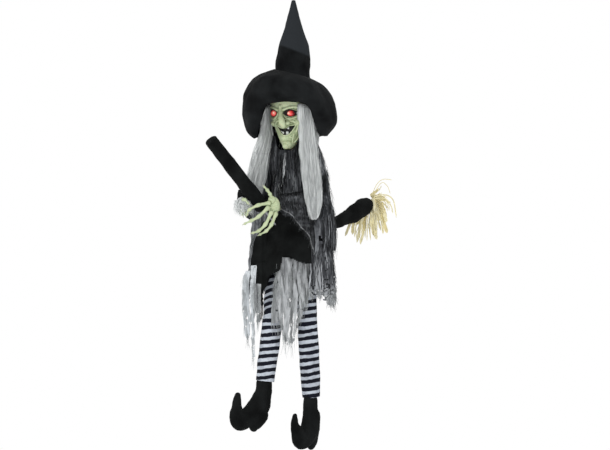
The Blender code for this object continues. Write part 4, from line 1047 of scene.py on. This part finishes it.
def cowl():
    """Dark cloth round her neck and shoulders, low under the chin and high behind the head."""
    turn, share = np.meshgrid(all_round(130), np.linspace(0, 1, 40))
    away = np.abs((np.degrees(turn) + 180) % 360 - 180)
    top = 0.998 + 0.050 * ease((away - 16) / 30) + 0.037 * ease((away - 85) / 30)
    height = top + (0.930 - top) * share
    wide = ((1.090, 0.065, 0.058), (1.040, 0.072, 0.057), (1.000, 0.078, 0.056), (0.960, 0.082, 0.057),
            (0.930, 0.080, 0.056))
    half_width, half_depth = read(wide, height)
    fold = 0.0025 * np.sin(turn * 17 + 2 * np.sin(turn * 3)) * (0.3 + share)
    points = np.stack([(half_width + fold) * np.sin(turn), -0.004 - (half_depth + fold) * np.cos(turn),
                       height], -1)
    points = creased(points, 46, (0.025, 0.003))
    made = sheet("neck_cowl", points, "gauze", around=True)
    turn_with_head(made)
    hang_cloth(made, 0.46, 0.15, held="gathered")
    turn_with_head(fuzz("cowl_fibres", "thread", points, whole(points), 500, 0.04, 49))


def cape():
    """Grey streaked cloth over the shoulders and the left elbow, down to a fringed hem."""
    turns = (48, 262)
    points, width = robe_cloth(turns, 1.030, 0.655, 48, 0.0, 0.004, CAPE, CAPE_Y)
    keep = torn(points, 48, hem=(0.90, 1.0), gaps=(0.0, 0.10), tears=0.15, strip=0.016)
    shoulders = ease((points[..., 2] - 0.76) / 0.06)
    patches = (0.7 + 1.2 * bumps(points, 0.035, 51)[..., 0]) * shoulders - 0.25
    made = sheet("cape", points, "grey_gauze", keep, values={"pale": patches})
    turn_with_head(made)
    hang_cloth(made, width, 0.40)
    robe_ribbons("cape_shreds", "gauze", 46, turns, (0.72, 0.84), (0.645, 0.72), (0.004, 0.012),
                 52, (0.001, 0.005), CAPE, CAPE_Y)
    turn_with_head(fuzz("cape_fibres", "thread", points, keep, 1500, 0.05, 53))


def skirts():
    """Two layers of gauze on each side, open in front, with loose fibres and threads at the hem."""
    for side, sign in (("left", 1), ("right", -1)):
        low = 0.478 if side == "left" else 0.490
        points, width = robe_cloth((sign * 46, sign * 180), 0.775, low + 0.03, 50 + sign, -0.003, 0.003)
        keep = torn(points, 50 + sign, hem=(0.82, 0.97), gaps=(0.0, 0.10))
        robe_cover(f"skirt_under_{side}", points, "gauze", (width, 0.775 - low),
                   stands_for=[f"skirt_gauze_{side}"], keep=keep)
        points, width = robe_cloth((sign * 42, sign * 180), 0.765, low, 56 + sign, 0.004, 0.005, cell=0.004)
        keep = torn(points, 56 + sign, (0.84, 1.0), (0.02, 0.36), tears=0.3, strip=0.020, hole=0.007)
        pale = ease((0.58 - points[..., 2]) / 0.08) * 0.9 - 0.8 * ease((points[..., 2] - 0.66) / 0.06)
        robe_cover(f"skirt_over_{side}", points, "grey_gauze", (width, 0.765 - low), keep=keep,
                   values={"pale": pale})
        fibres = fuzz(f"skirt_fibres_{side}", "thread", points, keep, 700, 0.03, 58 + sign)
        finish_piece(fibres, "root")
        at_hem = keep & (cells(points)[..., 2] < 0.54)
        ends = fuzz(f"skirt_threads_{side}", "pale_thread", points, at_hem, 420, 0.018, 63 + sign,
                    radius=0.0006)
        finish_piece(ends, "root")


def light_streaks():
    """Grey strips in front of her left hip, just above the hem."""
    robe_ribbons("skirt_light_strips", "grey_gauze", 14, (42, 62), (0.58, 0.66), (0.50, 0.56),
                 (0.003, 0.006), 69, (0.008, 0.012))


def apron():
    """The black felt over her lap, with a notched hem, a flap and a long tail at her right side."""
    turn, height = np.meshgrid(np.radians(np.linspace(-74, 45, 84)), np.linspace(0.790, 0.430, 100))
    out = 0.010 + 0.004 * np.sin(turn * 9 + 1) * np.clip((0.79 - height) / 0.18, 0, 1)
    points = creased(robe(turn, height, out), 71, (0.05, 0.004), (0.012, 0.0008))
    hem = ((-0.150, 0.615), (-0.130, 0.600), (-0.124, 0.560), (-0.106, 0.545), (-0.100, 0.560),
           (-0.080, 0.580), (-0.045, 0.600), (-0.036, 0.647), (0.000, 0.637), (0.058, 0.618),
           (0.064, 0.640), (0.072, 0.690))
    robe_cover("apron_cloth", points, "felt", (0.27, 0.24), "black_felt", ["apron_felt"],
               keep=above(points, hem, 73, 0.003))
    panel = facing_panel(((0.760, -0.100, -0.060), (0.70, -0.128, -0.060), (0.65, -0.138, -0.062),
                          (0.600, -0.147, -0.070)), 0.062, 77, 0.002)
    robe_cover("apron_flap", panel, "felt", (0.08, 0.16), "black_felt",
               keep=above(panel, ((-0.150, 0.616), (-0.128, 0.604), (-0.06, 0.598)), 78))
    panel = facing_panel(((0.625, -0.126, -0.062), (0.575, -0.126, -0.080), (0.55, -0.126, -0.088),
                          (0.53, -0.124, -0.100), (0.48, -0.114, -0.1005), (0.425, -0.110, -0.102)),
                         0.068, 74, 0.002)
    keep = torn(panel, 74, hem=(0.9, 1.0), gaps=(0.0, 0.02))
    tail = sheet("apron_tail", panel, "felt", keep)
    finish_blend(tail)
    hang_cloth(tail, 0.06, 0.20)


def facing_panel(edges, depth, seed, pleats=0.004, cell=0.004):
    """A grid of points as seen from the front: left and right edges by height, at one depth."""
    top, low = edges[0][0], edges[-1][0]
    heights = np.linspace(top, low, int((top - low) / cell))
    first, last = read(edges, heights)
    columns = max(5, int((last - first).max() / cell) + 1)
    across = first[:, None] + (last - first)[:, None] * np.linspace(0, 1, columns)[None]
    height = np.repeat(heights[:, None], columns, axis=1)
    towards = depth + pleats * np.sin(across * 260 + 2 * np.sin(across * 70))
    return creased(np.stack(facing(across, towards, height), -1), seed)


def finish_blend(obj):
    """Bakes the transform of cloth in front of a thigh into its mesh."""
    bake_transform(obj)


def rags():
    """Pale rags under the apron, and strips at her right side."""
    hem = ((-0.080, 0.44), (-0.068, 0.425), (-0.045, 0.428), (-0.036, 0.40), (-0.030, 0.362),
           (-0.017, 0.347), (0.002, 0.362), (0.010, 0.405), (0.028, 0.445), (0.040, 0.480), (0.055, 0.510))
    points = facing_panel(((0.655, -0.052, 0.054), (0.58, -0.062, 0.052), (0.50, -0.070, 0.050),
                           (0.43, -0.072, 0.040), (0.345, -0.060, 0.030)), 0.086, 81)
    points = points + FORWARD * 0.008 * ease((0.56 - points[..., 2:]) / 0.1)
    keep = above(points, hem, 82) & holes(points, 0.010, 0.05, 83) & slits(points, 14, 0.3, 84)
    pale = ease((0.56 - points[..., 2]) / 0.12)
    front = sheet("rag_front", points, "rag", keep, values={"pale": 0.2 + 0.5 * pale})
    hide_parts("front_rags")
    finish_blend(front)
    hang_cloth(front, 0.12, 0.31, ("drive_box_front",))
    loose = fuzz("rag_threads", "pale_thread", points, keep, 520, 0.06, 85, 0.0006, FORWARD)
    finish_blend(loose)
    rng = np.random.default_rng(86)
    count, length = 26, 24
    across = np.sort(rng.uniform(-0.058, 0.046, (count, 1)), axis=0)
    low = np.interp(across, *np.array(hem).T) + rng.uniform(0.0, 0.06, (count, 1))
    height = 0.652 + (low - 0.652) * np.linspace(0, 1, length)[None]
    sway = across + 0.003 * np.sin(height * 50 + rng.uniform(0, 6, (count, 1)))
    proud = 0.092 + 0.003 * np.sin(height * 70 + across * 300) + 0.008 * ease((0.56 - height) / 0.1)
    lines = np.stack(facing(sway, proud, height), -1)
    widths = rng.uniform(0.005, 0.012, count)
    lay = np.broadcast_to(facing(1.0, 0.0, 0.0), lines.shape)
    over = strips("rag_strips", "rag", lines, widths, 87, lay)
    finish_blend(over)
    hang_cloth(over, float(widths.sum()) * 0.9, 0.22, ("drive_box_front",))
    # The strips at her side: edges by height, how far forward, the look and how pale.
    sides = ((((0.800, -0.128, -0.066), (0.76, -0.138, -0.072), (0.70, -0.143, -0.095),
               (0.62, -0.150, -0.108), (0.50, -0.156, -0.115)), 0.034, "grey_gauze", 0.2),
             (((0.600, -0.158, -0.142), (0.56, -0.170, -0.146), (0.45, -0.167, -0.145),
               (0.39, -0.161, -0.146), (0.372, -0.155, -0.149)), 0.045, "pale_rag", 0.6),
             (((0.615, -0.140, -0.124), (0.50, -0.143, -0.124), (0.44, -0.140, -0.127),
               (0.30, -0.138, -0.130)), 0.072, "pale_rag", 0.7),
             (((0.555, -0.129, -0.108), (0.50, -0.129, -0.108), (0.425, -0.119, -0.108)), 0.080, "rag", 0.2))
    for index, (edges, depth, shade, pale) in enumerate(sides):
        seed = 90 + 7 * index
        points = facing_panel(edges, depth, seed, 0.0015, 0.0035)
        keep = torn(points, seed, hem=(0.93, 1.0), gaps=(0.0, 0.10), tears=0.15, strip=0.010)
        hanging = sheet(f"rag_side_{index + 1}", points, shade, keep,
                        values={"pale": np.full(points.shape[:2], pale)})
        loose = fuzz(f"rag_side_threads_{index + 1}", "pale_thread", points, keep, 70, 0.05,
                     seed + 5, towards=FORWARD)
        for piece in (hanging, loose):
            if index < 2:
                finish_piece(piece, "root")
            else:
                finish_blend(piece)
        hang_cloth(hanging, 0.03, edges[0][0] - edges[-1][0])


def sleeves():
    """Gauze sleeves over the bent arms, and the wide fall of the left one below the forearm."""
    for side in ("left", "right"):
        shoulder, elbow, wrist = (np.array(table[side]) for table in (SHOULDERS, ELBOWS, WRISTS))
        cuff = elbow + (wrist - elbow) * 0.90
        yoke = shoulder + np.array((-0.025 if side == "left" else 0.025, 0.002, 0.026))
        centre = curve([(*yoke, 0.020), (*shoulder, 0.026), (*(shoulder * 0.5 + elbow * 0.5), 0.029),
                        (*elbow, 0.031), (*(elbow * 0.6 + cuff * 0.4), 0.027), (*cuff, 0.022)], 70)
        turns = all_round(60)
        points = creased(swept(centre, turns, steady=len(centre) // 4), 101)
        robe_cover(f"sleeve_cloth_{side}", points, "gauze", (0.20, 0.30),
                   stands_for=[f"sleeve_{side}"], rests_on=("arm_wire",), held="gathered", around=True)

    columns, rows = 46, 40
    along = np.linspace(0, 1, columns)
    top = curve([(-0.046, 0.132, 0.850), (-0.010, 0.128, 0.856), (0.030, 0.112, 0.864), (0.060, 0.094, 0.868),
                 (0.084, 0.080, 0.862)], columns)
    low = curve([(-0.040, 0.138, 0.803), (-0.005, 0.134, 0.783), (0.022, 0.128, 0.748), (0.052, 0.122, 0.712),
                 (0.068, 0.116, 0.652)], columns)
    down = np.linspace(0, 1, rows)[:, None, None]
    fall = top[None] * (1 - down) + low[None] * down
    fall[..., 1] += 0.003 * np.sin(along * 30)[None] * down[..., 0]
    points = creased(np.stack(facing(fall[..., 0], fall[..., 1], fall[..., 2]), -1), 104)
    folds = 0.15 + bumps(points * np.array((1.0, 1.0, 3.0)), 0.03, 103)[..., 0]
    # Painted shadow: the top of the fall is darkened, as in the shade under the bodice above the forearm.
    painted_shadow_top = 1.5 * ease(1 - 5 * down[..., 0])
    robe_cover("sleeve_fall", points, "gauze", (0.17, 0.18), rests_on=("arm_wire",),
               values={"pale": folds - painted_shadow_top})
    radii = np.full((1, columns), 0.0017)
    hem = tubes("sleeve_hem", [points[-1] + FORWARD * 0.001], radii, "rag", sides=6)
    finish_piece(hem, "root")
    loose = fuzz("sleeve_fibres", "thread", points, whole(points), 420, 0.03, 106, 0.00045, FORWARD)
    finish_piece(loose, "root")


def cuff():
    """The right sleeve's black felt cuff and the pale fluff that spills from it."""
    rng = np.random.default_rng(107)
    count, length = 1000, 9
    share = np.linspace(0, 1, length)[None]
    turn = rng.uniform(0, math.tau, (count, 1))
    out = 0.007 + rng.uniform(0.004, 0.028, (count, 1)) * np.sin(share * 2.2)
    drop = rng.uniform(0.018, 0.062, (count, 1)) * share
    lines = np.stack(facing(-0.163 + out * np.cos(turn), 0.112 + out * np.sin(turn), 0.842 - drop), -1)
    radii = 0.0006 * (1.2 - 0.8 * share) * np.ones((count, 1))
    fluff = tubes("cuff_fluff", crumpled(lines, 0.012, 0.006, 108), radii, "fluff")
    finish_piece(fluff, "root")
    turn, down = np.meshgrid(all_round(40), np.linspace(0, 1, 16))
    wide = 0.015 + 0.005 * down
    points = np.stack(facing(-0.167 + wide * np.cos(turn), 0.098 + wide * np.sin(turn),
                             0.866 - 0.038 * down), -1)
    points = creased(points, 109, (0.02, 0.004), (0.008, 0.001))
    robe_cover("cuff_felt", points, "felt", (0.13, 0.040), "black_felt",
               rests_on=("arm_wire",), held="gathered", around=True)


# ---------------------------------------------------------------- hands

def hands():
    """Bony hands: back, tendons, jointed fingers and nails, laid out as seen from the front."""
    left = [[(-0.070, 0.144, 0.836), (-0.077, 0.150, 0.852), (-0.086, 0.152, 0.865), (-0.095, 0.150, 0.875)],
            [(-0.081, 0.148, 0.822), (-0.116, 0.156, 0.815), (-0.145, 0.150, 0.800), (-0.152, 0.144, 0.785)],
            [(-0.084, 0.150, 0.806), (-0.114, 0.158, 0.778), (-0.139, 0.150, 0.764), (-0.160, 0.140, 0.754)],
            [(-0.073, 0.150, 0.790), (-0.092, 0.160, 0.752), (-0.114, 0.152, 0.731), (-0.134, 0.142, 0.724)],
            [(-0.058, 0.146, 0.786), (-0.072, 0.158, 0.752), (-0.089, 0.154, 0.731), (-0.110, 0.142, 0.719)]]
    right = [[(-0.162, 0.106, 0.824), (-0.165, 0.134, 0.834), (-0.159, 0.152, 0.833), (-0.149, 0.158, 0.822)],
             [(-0.164, 0.108, 0.815), (-0.162, 0.116, 0.802), (-0.160, 0.118, 0.792), (-0.158, 0.118, 0.784)],
             [(-0.170, 0.104, 0.812), (-0.172, 0.110, 0.800), (-0.170, 0.112, 0.790), (-0.168, 0.112, 0.784)]]
    flat = Matrix.Rotation(VIEW_TURN, 4, "Z")
    for side, palm, size, fingers in (("left", (-0.065, 0.138, 0.815), (0.021, 0.011, 0.028), left),
                                      ("right", (-0.164, 0.100, 0.820), (0.012, 0.018, 0.020), right)):
        bm, nail_bm = bmesh.new(), bmesh.new()
        wrist = WRISTS[side]
        lump(bm, facing(*palm), size, flat)
        if side == "left":
            lump(bm, facing(-0.071, 0.142, 0.832), (0.0125, 0.0100, 0.0150), flat)
        roll(bm, [(*wrist, 0.0105), (*facing(*palm), 0.0105)])
        for points in fingers:
            line = [facing(*point) for point in points]
            dense = curve([(*place, radius) for place, radius in zip(line, FINGER_RADII)], 31)
            # Each finger swells at its joints.
            dense[:, 3] += 0.0024 * np.abs(np.cos(np.linspace(0, 3, 31) * math.pi)) ** 4 - 0.0009
            roll(bm, dense, 40, 12)
            middle = (np.array(wrist) + np.array(line[0])) / 2 + np.array(facing(0, 0.008, 0.002))
            roll(bm, [(*wrist, 0.0036), (*middle, 0.0034), (*line[0], 0.0040)])
            tip = Vector(line[3])
            direction = (tip - Vector(line[2])).normalized()
            turn = direction.to_track_quat("Z", "Y").to_matrix().to_4x4()
            nail = tip + direction * 0.004 + Vector(facing(0, 0.0014, 0))
            lump(nail_bm, nail, (0.0032, 0.0014, 0.0075), turn)
        points, faces = clay(bm, voxel=0.0009, smoothing=3)
        points += bumps(points, 0.005, 5) * 0.0003
        obj = build_clay(f"bony_hand_{side}", points, faces, "vinyl")
        finish_piece(obj, "root", [f"hand_{side}"])
        finish_piece(show_clay(f"nails_{side}", nail_bm, "nail"), "root")


# ---------------------------------------------------------------- broom

def padded_tube(name, look, stations, seed, rough):
    """A soft closed tube through (x, y, height, radius) stations, crumpled a little."""
    turns = all_round(48)
    points = swept(curve(stations, 90), turns)
    points = creased(points, seed, (0.04, rough * 1.4), (0.013, rough * 0.5))
    rows, columns = points.shape[:2]
    flat = points.reshape(-1, 3)
    ends = np.array([points[0].mean(axis=0), points[-1].mean(axis=0)])
    faces = quads(rows, columns, around=True).tolist()
    for column in range(columns):
        after = (column + 1) % columns
        faces.append([len(flat), after, column])
        faces.append([len(flat) + 1, (rows - 1) * columns + column, (rows - 1) * columns + after])
    return show(name, lowered_mesh(name, np.vstack([flat, ends]), faces), look)


def broom():
    """The felt over the two ends of the broom, and the raffia. Felt is (way along, radius)."""
    for side, (start, end), sag, rough, felt in (
            ("front", BROOM_FRONT, 0.0, 0.0016,
             ((0.128, 0.018), (0.135, 0.0255), (0.24, 0.0240), (0.38, 0.0222), (0.429, 0.0215),
              (0.432, 0.0195))),
            ("rear", BROOM_REAR, 0.013, 0.0034,
             ((0.045, 0.012), (0.055, 0.017), (0.12, 0.0175), (0.18, 0.0230), (0.25, 0.0300),
              (0.285, 0.0290), (0.302, 0.0200)))):
        way = (end - start).normalized()
        drops = [sag * math.sin(math.pi * min(1, max(0, at * 5 - 0.5))) for at, _ in felt]
        stations = [(*(start + way * at - Vector((0, 0, drop))), radius)
                    for (at, radius), drop in zip(felt, drops)]
        made = padded_tube(f"broom_felt_{side}", "felt", stations, 110, rough)
        finish_piece(made, "root", [f"broom_sleeve_{side}"])
    bristles()


def bristles(length=18):
    """Raffia: broad flat strips that spread and hang from the end of the broom, over thinner ones."""
    for name, count, widths, seed in (("raffia_broad", 46, (0.006, 0.012), 120),
                                      ("raffia_thin", 60, (0.0015, 0.004), 124)):
        rng = np.random.default_rng(seed)
        share = np.linspace(0, 1, length)[None]
        hangs = rng.uniform(size=(count, 1)) < 0.38
        turn = np.radians(np.where(hangs, rng.uniform(-145, -60, (count, 1)),
                                   rng.uniform(-75, 68, (count, 1))))
        reach = np.where(hangs, rng.uniform(0.045, 0.095, (count, 1)),
                         rng.uniform(0.030, 0.062, (count, 1)))
        droop = rng.uniform(0.0, 0.040, (count, 1)) + 0.01 * hangs
        across = 0.260 + 0.010 * np.cos(turn) + reach * np.cos(turn) * np.sin(share * 1.5)
        height = 0.838 + 0.016 * np.sin(turn) + reach * np.sin(turn) * share - droop * share ** 2
        towards = -0.200 + rng.uniform(-0.045, 0.045, (count, 1)) * share
        lines = np.stack(facing(across, towards, height), -1)
        lines = crumpled(lines, 0.04, 0.009, seed + 1)
        lay = np.cross(np.gradient(lines, axis=1), FORWARD + rng.normal(0, 0.5, (count, 1, 3)))
        made = strips(name, "raffia", lines, rng.uniform(*widths, count), seed + 2, lay,
                      rough=0.0010, uneven=0.1, tip=0.06)
        finish_piece(made, "root", ["broom_bristles"])
    # Single long strips that stand clear of the rest: across and height, as seen from the front.
    paths = (((0.264, 0.850), (0.282, 0.888), (0.303, 0.905), (0.334, 0.903)),
             ((0.268, 0.850), (0.296, 0.892), (0.316, 0.884), (0.328, 0.856)),
             ((0.272, 0.845), (0.312, 0.852), (0.338, 0.832), (0.348, 0.775)),
             ((0.275, 0.840), (0.310, 0.840), (0.330, 0.815), (0.336, 0.790)),
             ((0.268, 0.840), (0.286, 0.805), (0.302, 0.768), (0.317, 0.722)),
             ((0.266, 0.840), (0.276, 0.800), (0.278, 0.760), (0.278, 0.702)),
             ((0.262, 0.835), (0.246, 0.800), (0.228, 0.757), (0.214, 0.690)),
             ((0.258, 0.832), (0.236, 0.800), (0.216, 0.770), (0.205, 0.708)),
             ((0.256, 0.830), (0.226, 0.800), (0.197, 0.768), (0.174, 0.712)),
             ((0.262, 0.830), (0.254, 0.790), (0.250, 0.750), (0.248, 0.696)))
    widths = np.array((0.0022, 0.0020, 0.0040, 0.0035, 0.0120, 0.0105, 0.0090, 0.0045, 0.0085, 0.0035))
    seen = np.array([curve(path, length) for path in paths])
    towards = -0.185 + np.linspace(-0.012, 0.020, len(paths))[:, None] * np.linspace(0, 1, length)[None]
    lines = np.stack(facing(seen[..., 0], towards, seen[..., 1]), -1)
    lay = np.cross(np.gradient(lines, axis=1), FORWARD)
    made = strips("raffia_long", "raffia", lines, widths, 131, lay, 0.0006, uneven=0.1, tip=0.06)
    finish_piece(made, "root")


# ---------------------------------------------------------------- legs

def stocking(side):
    """A padded leg in one knitted stocking, from under the robe to the shoe."""
    hip, knee, ankle = (np.array(table[side]) for table in (HIPS, KNEES, ANKLES))
    top = hip + (knee - hip) * 0.20
    stations = [(*top, 0.027), (*(top * 0.8 + knee * 0.2), 0.0335), (*(top * 0.45 + knee * 0.55), 0.0345),
                (*(top * 0.15 + knee * 0.85), 0.0330), (*knee, 0.0325), (*(knee * 0.8 + ankle * 0.2), 0.0335),
                (*(knee * 0.55 + ankle * 0.45), 0.0340), (*(knee * 0.25 + ankle * 0.75), 0.0320),
                (*ankle, 0.0295)]
    line = curve(stations, 150)
    steps = np.linalg.norm(np.diff(line[:, :3], axis=0), axis=1)
    along = np.concatenate([[0], np.cumsum(steps)])
    turns = all_round(56)
    points = crumpled(swept(line, -turns, (0.0, 1.0, 0.0)), 0.035, 0.0022, 130)
    slant = (0.09 if side == "left" else 0.22) * (seen_across(points) - seen_across(line)[:, None])
    obj = sheet(f"stocking_{side}", points, "stocking", around=True, values={
        "along": along[:, None] + slant, "around": np.repeat(turns[None] * LEG_R, len(line), axis=0)})
    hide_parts(f"stocking_thigh_{side}", f"stocking_shin_{side}")
    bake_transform(obj)


def shoe(side):
    """A felt shoe with a thick curled toe and a block heel: how far ahead, how high, and the radius."""
    ankle = Vector(ANKLES[side])
    sole = SOLES[side]
    forward = Vector((-math.sin(TOE_TURN[side]), -math.cos(TOE_TURN[side]), 0.0))
    base = Vector((ankle.x, ankle.y, sole))
    top = ankle.z - sole - 0.004
    paths = {"right": ((0.004, top, 0.0285), (0.006, 0.135, 0.0300), (0.014, 0.110, 0.0350),
                       (0.025, 0.085, 0.0385), (0.045, 0.062, 0.0370), (0.072, 0.046, 0.0330),
                       (0.099, 0.038, 0.0310), (0.1085, 0.062, 0.0245), (0.108, 0.088, 0.0175),
                       (0.106, 0.110, 0.0135), (0.104, 0.123, 0.0105)),
             "left": ((0.004, top, 0.0270), (0.004, 0.135, 0.0290), (0.000, 0.110, 0.0340),
                      (0.002, 0.085, 0.0370), (0.012, 0.062, 0.0370), (0.032, 0.046, 0.0350),
                      (0.055, 0.038, 0.0340), (0.076, 0.060, 0.0260), (0.0915, 0.0875, 0.0155),
                      (0.090, 0.107, 0.0120), (0.088, 0.117, 0.0100))}
    heels = {"right": ((0.044, 0.018, 0.0175), (0.034, 0.030, 0.0240), (0.022, 0.055, 0.0320)),
             "left": ((0.000, 0.018, 0.0180), (-0.002, 0.030, 0.0230), (0.000, 0.055, 0.0300))}
    bm = bmesh.new()
    for path, count in ((paths[side], 80), (heels[side], 16)):
        roll(bm, [(*(base + forward * ahead + Vector((0, 0, rise))), radius) for ahead, rise, radius in path],
             count, 28)
    points, faces = clay(bm, voxel=0.0016, smoothing=3)
    beside = np.array((forward.y, -forward.x, 0.0))
    points -= 0.22 * ((points - np.array(base)) @ beside)[:, None] * beside
    low = sole + 0.0004
    points[:, 2] = np.maximum(points[:, 2], low)
    points = creased(points, 141, (0.03, 0.0022), (0.010, 0.0009))
    points[:, 2] = np.maximum(points[:, 2], low)
    obj = build_clay(f"felt_shoe_{side}", points, faces, "felt")
    finish_piece(obj, f"{side}_shin", [f"shoe_{side}"])


# ---------------------------------------------------------------- stage

def stage():
    """White surroundings, a pale floor below her, four soft lamps, and the photograph's view."""
    world = bpy.data.worlds.new("pale")
    bpy.context.scene.world = world
    world.use_nodes = True
    back = world.node_tree.nodes["Background"]
    back.inputs["Color"].default_value = (1.0, 1.0, 1.0, 1.0)
    back.inputs["Strength"].default_value = 1.0
    bpy.context.scene.view_settings.view_transform = "Standard"

    bpy.ops.mesh.primitive_circle_add(vertices=96, radius=4.0, fill_type="NGON",
                                      location=(0.0, 0.0, SOLE_Z - FLOOR_DROP))
    floor = bpy.context.object
    floor.name = "floor"
    pale = Look("pale_floor", Roughness=0.9)
    pale.paint(pale.mix(pale.noise(3.0), colour(244, 244, 244), colour(238, 238, 238)))
    floor.data.materials.append(pale.material)

    middle = (CAD_BOX[0] + CAD_BOX[1]) / 2
    for name, place, size, power in (("key", (-1.4, -2.2, 0.9), 1.6, 16.0),
                                     ("fill", (2.4, -1.6, 0.2), 2.0, 12.0),
                                     ("front", (0.5, -2.6, -0.5), 1.4, 15.0),
                                     ("top", (0.2, 0.8, 2.2), 1.8, 10.0)):
        data = bpy.data.lights.new(name, "AREA")
        data.size = size
        data.energy = power
        lamp = link(name, data)
        lamp.location = middle + Vector(place)
        lamp.rotation_euler = (-Vector(place)).to_track_quat("-Z", "Y").to_euler()

    data = bpy.data.cameras.new("camera")
    data.lens = 200.0
    data.sensor_width = 36.0
    camera = link("camera", data)
    across, height = PICTURE_MIDDLE
    target = Vector(facing(across, 0.0, height + SOLE_Z))
    camera.location = target + Vector(facing(0.0, CAMERA_AWAY, 0.0))
    camera.rotation_euler = (target - camera.location).to_track_quat("-Z", "Y").to_euler()
    bpy.context.scene.camera = camera


def main():
    """Builds what is seen."""
    dress_frame()
    stage()
    for make in (face, teeth, eyes, hat, hair, bodice, cowl, cape, skirts, light_streaks, apron, rags,
                 sleeves, cuff, hands, broom):
        make()
    for side in ("left", "right"):
        stocking(side)
        shoe(side)


main()
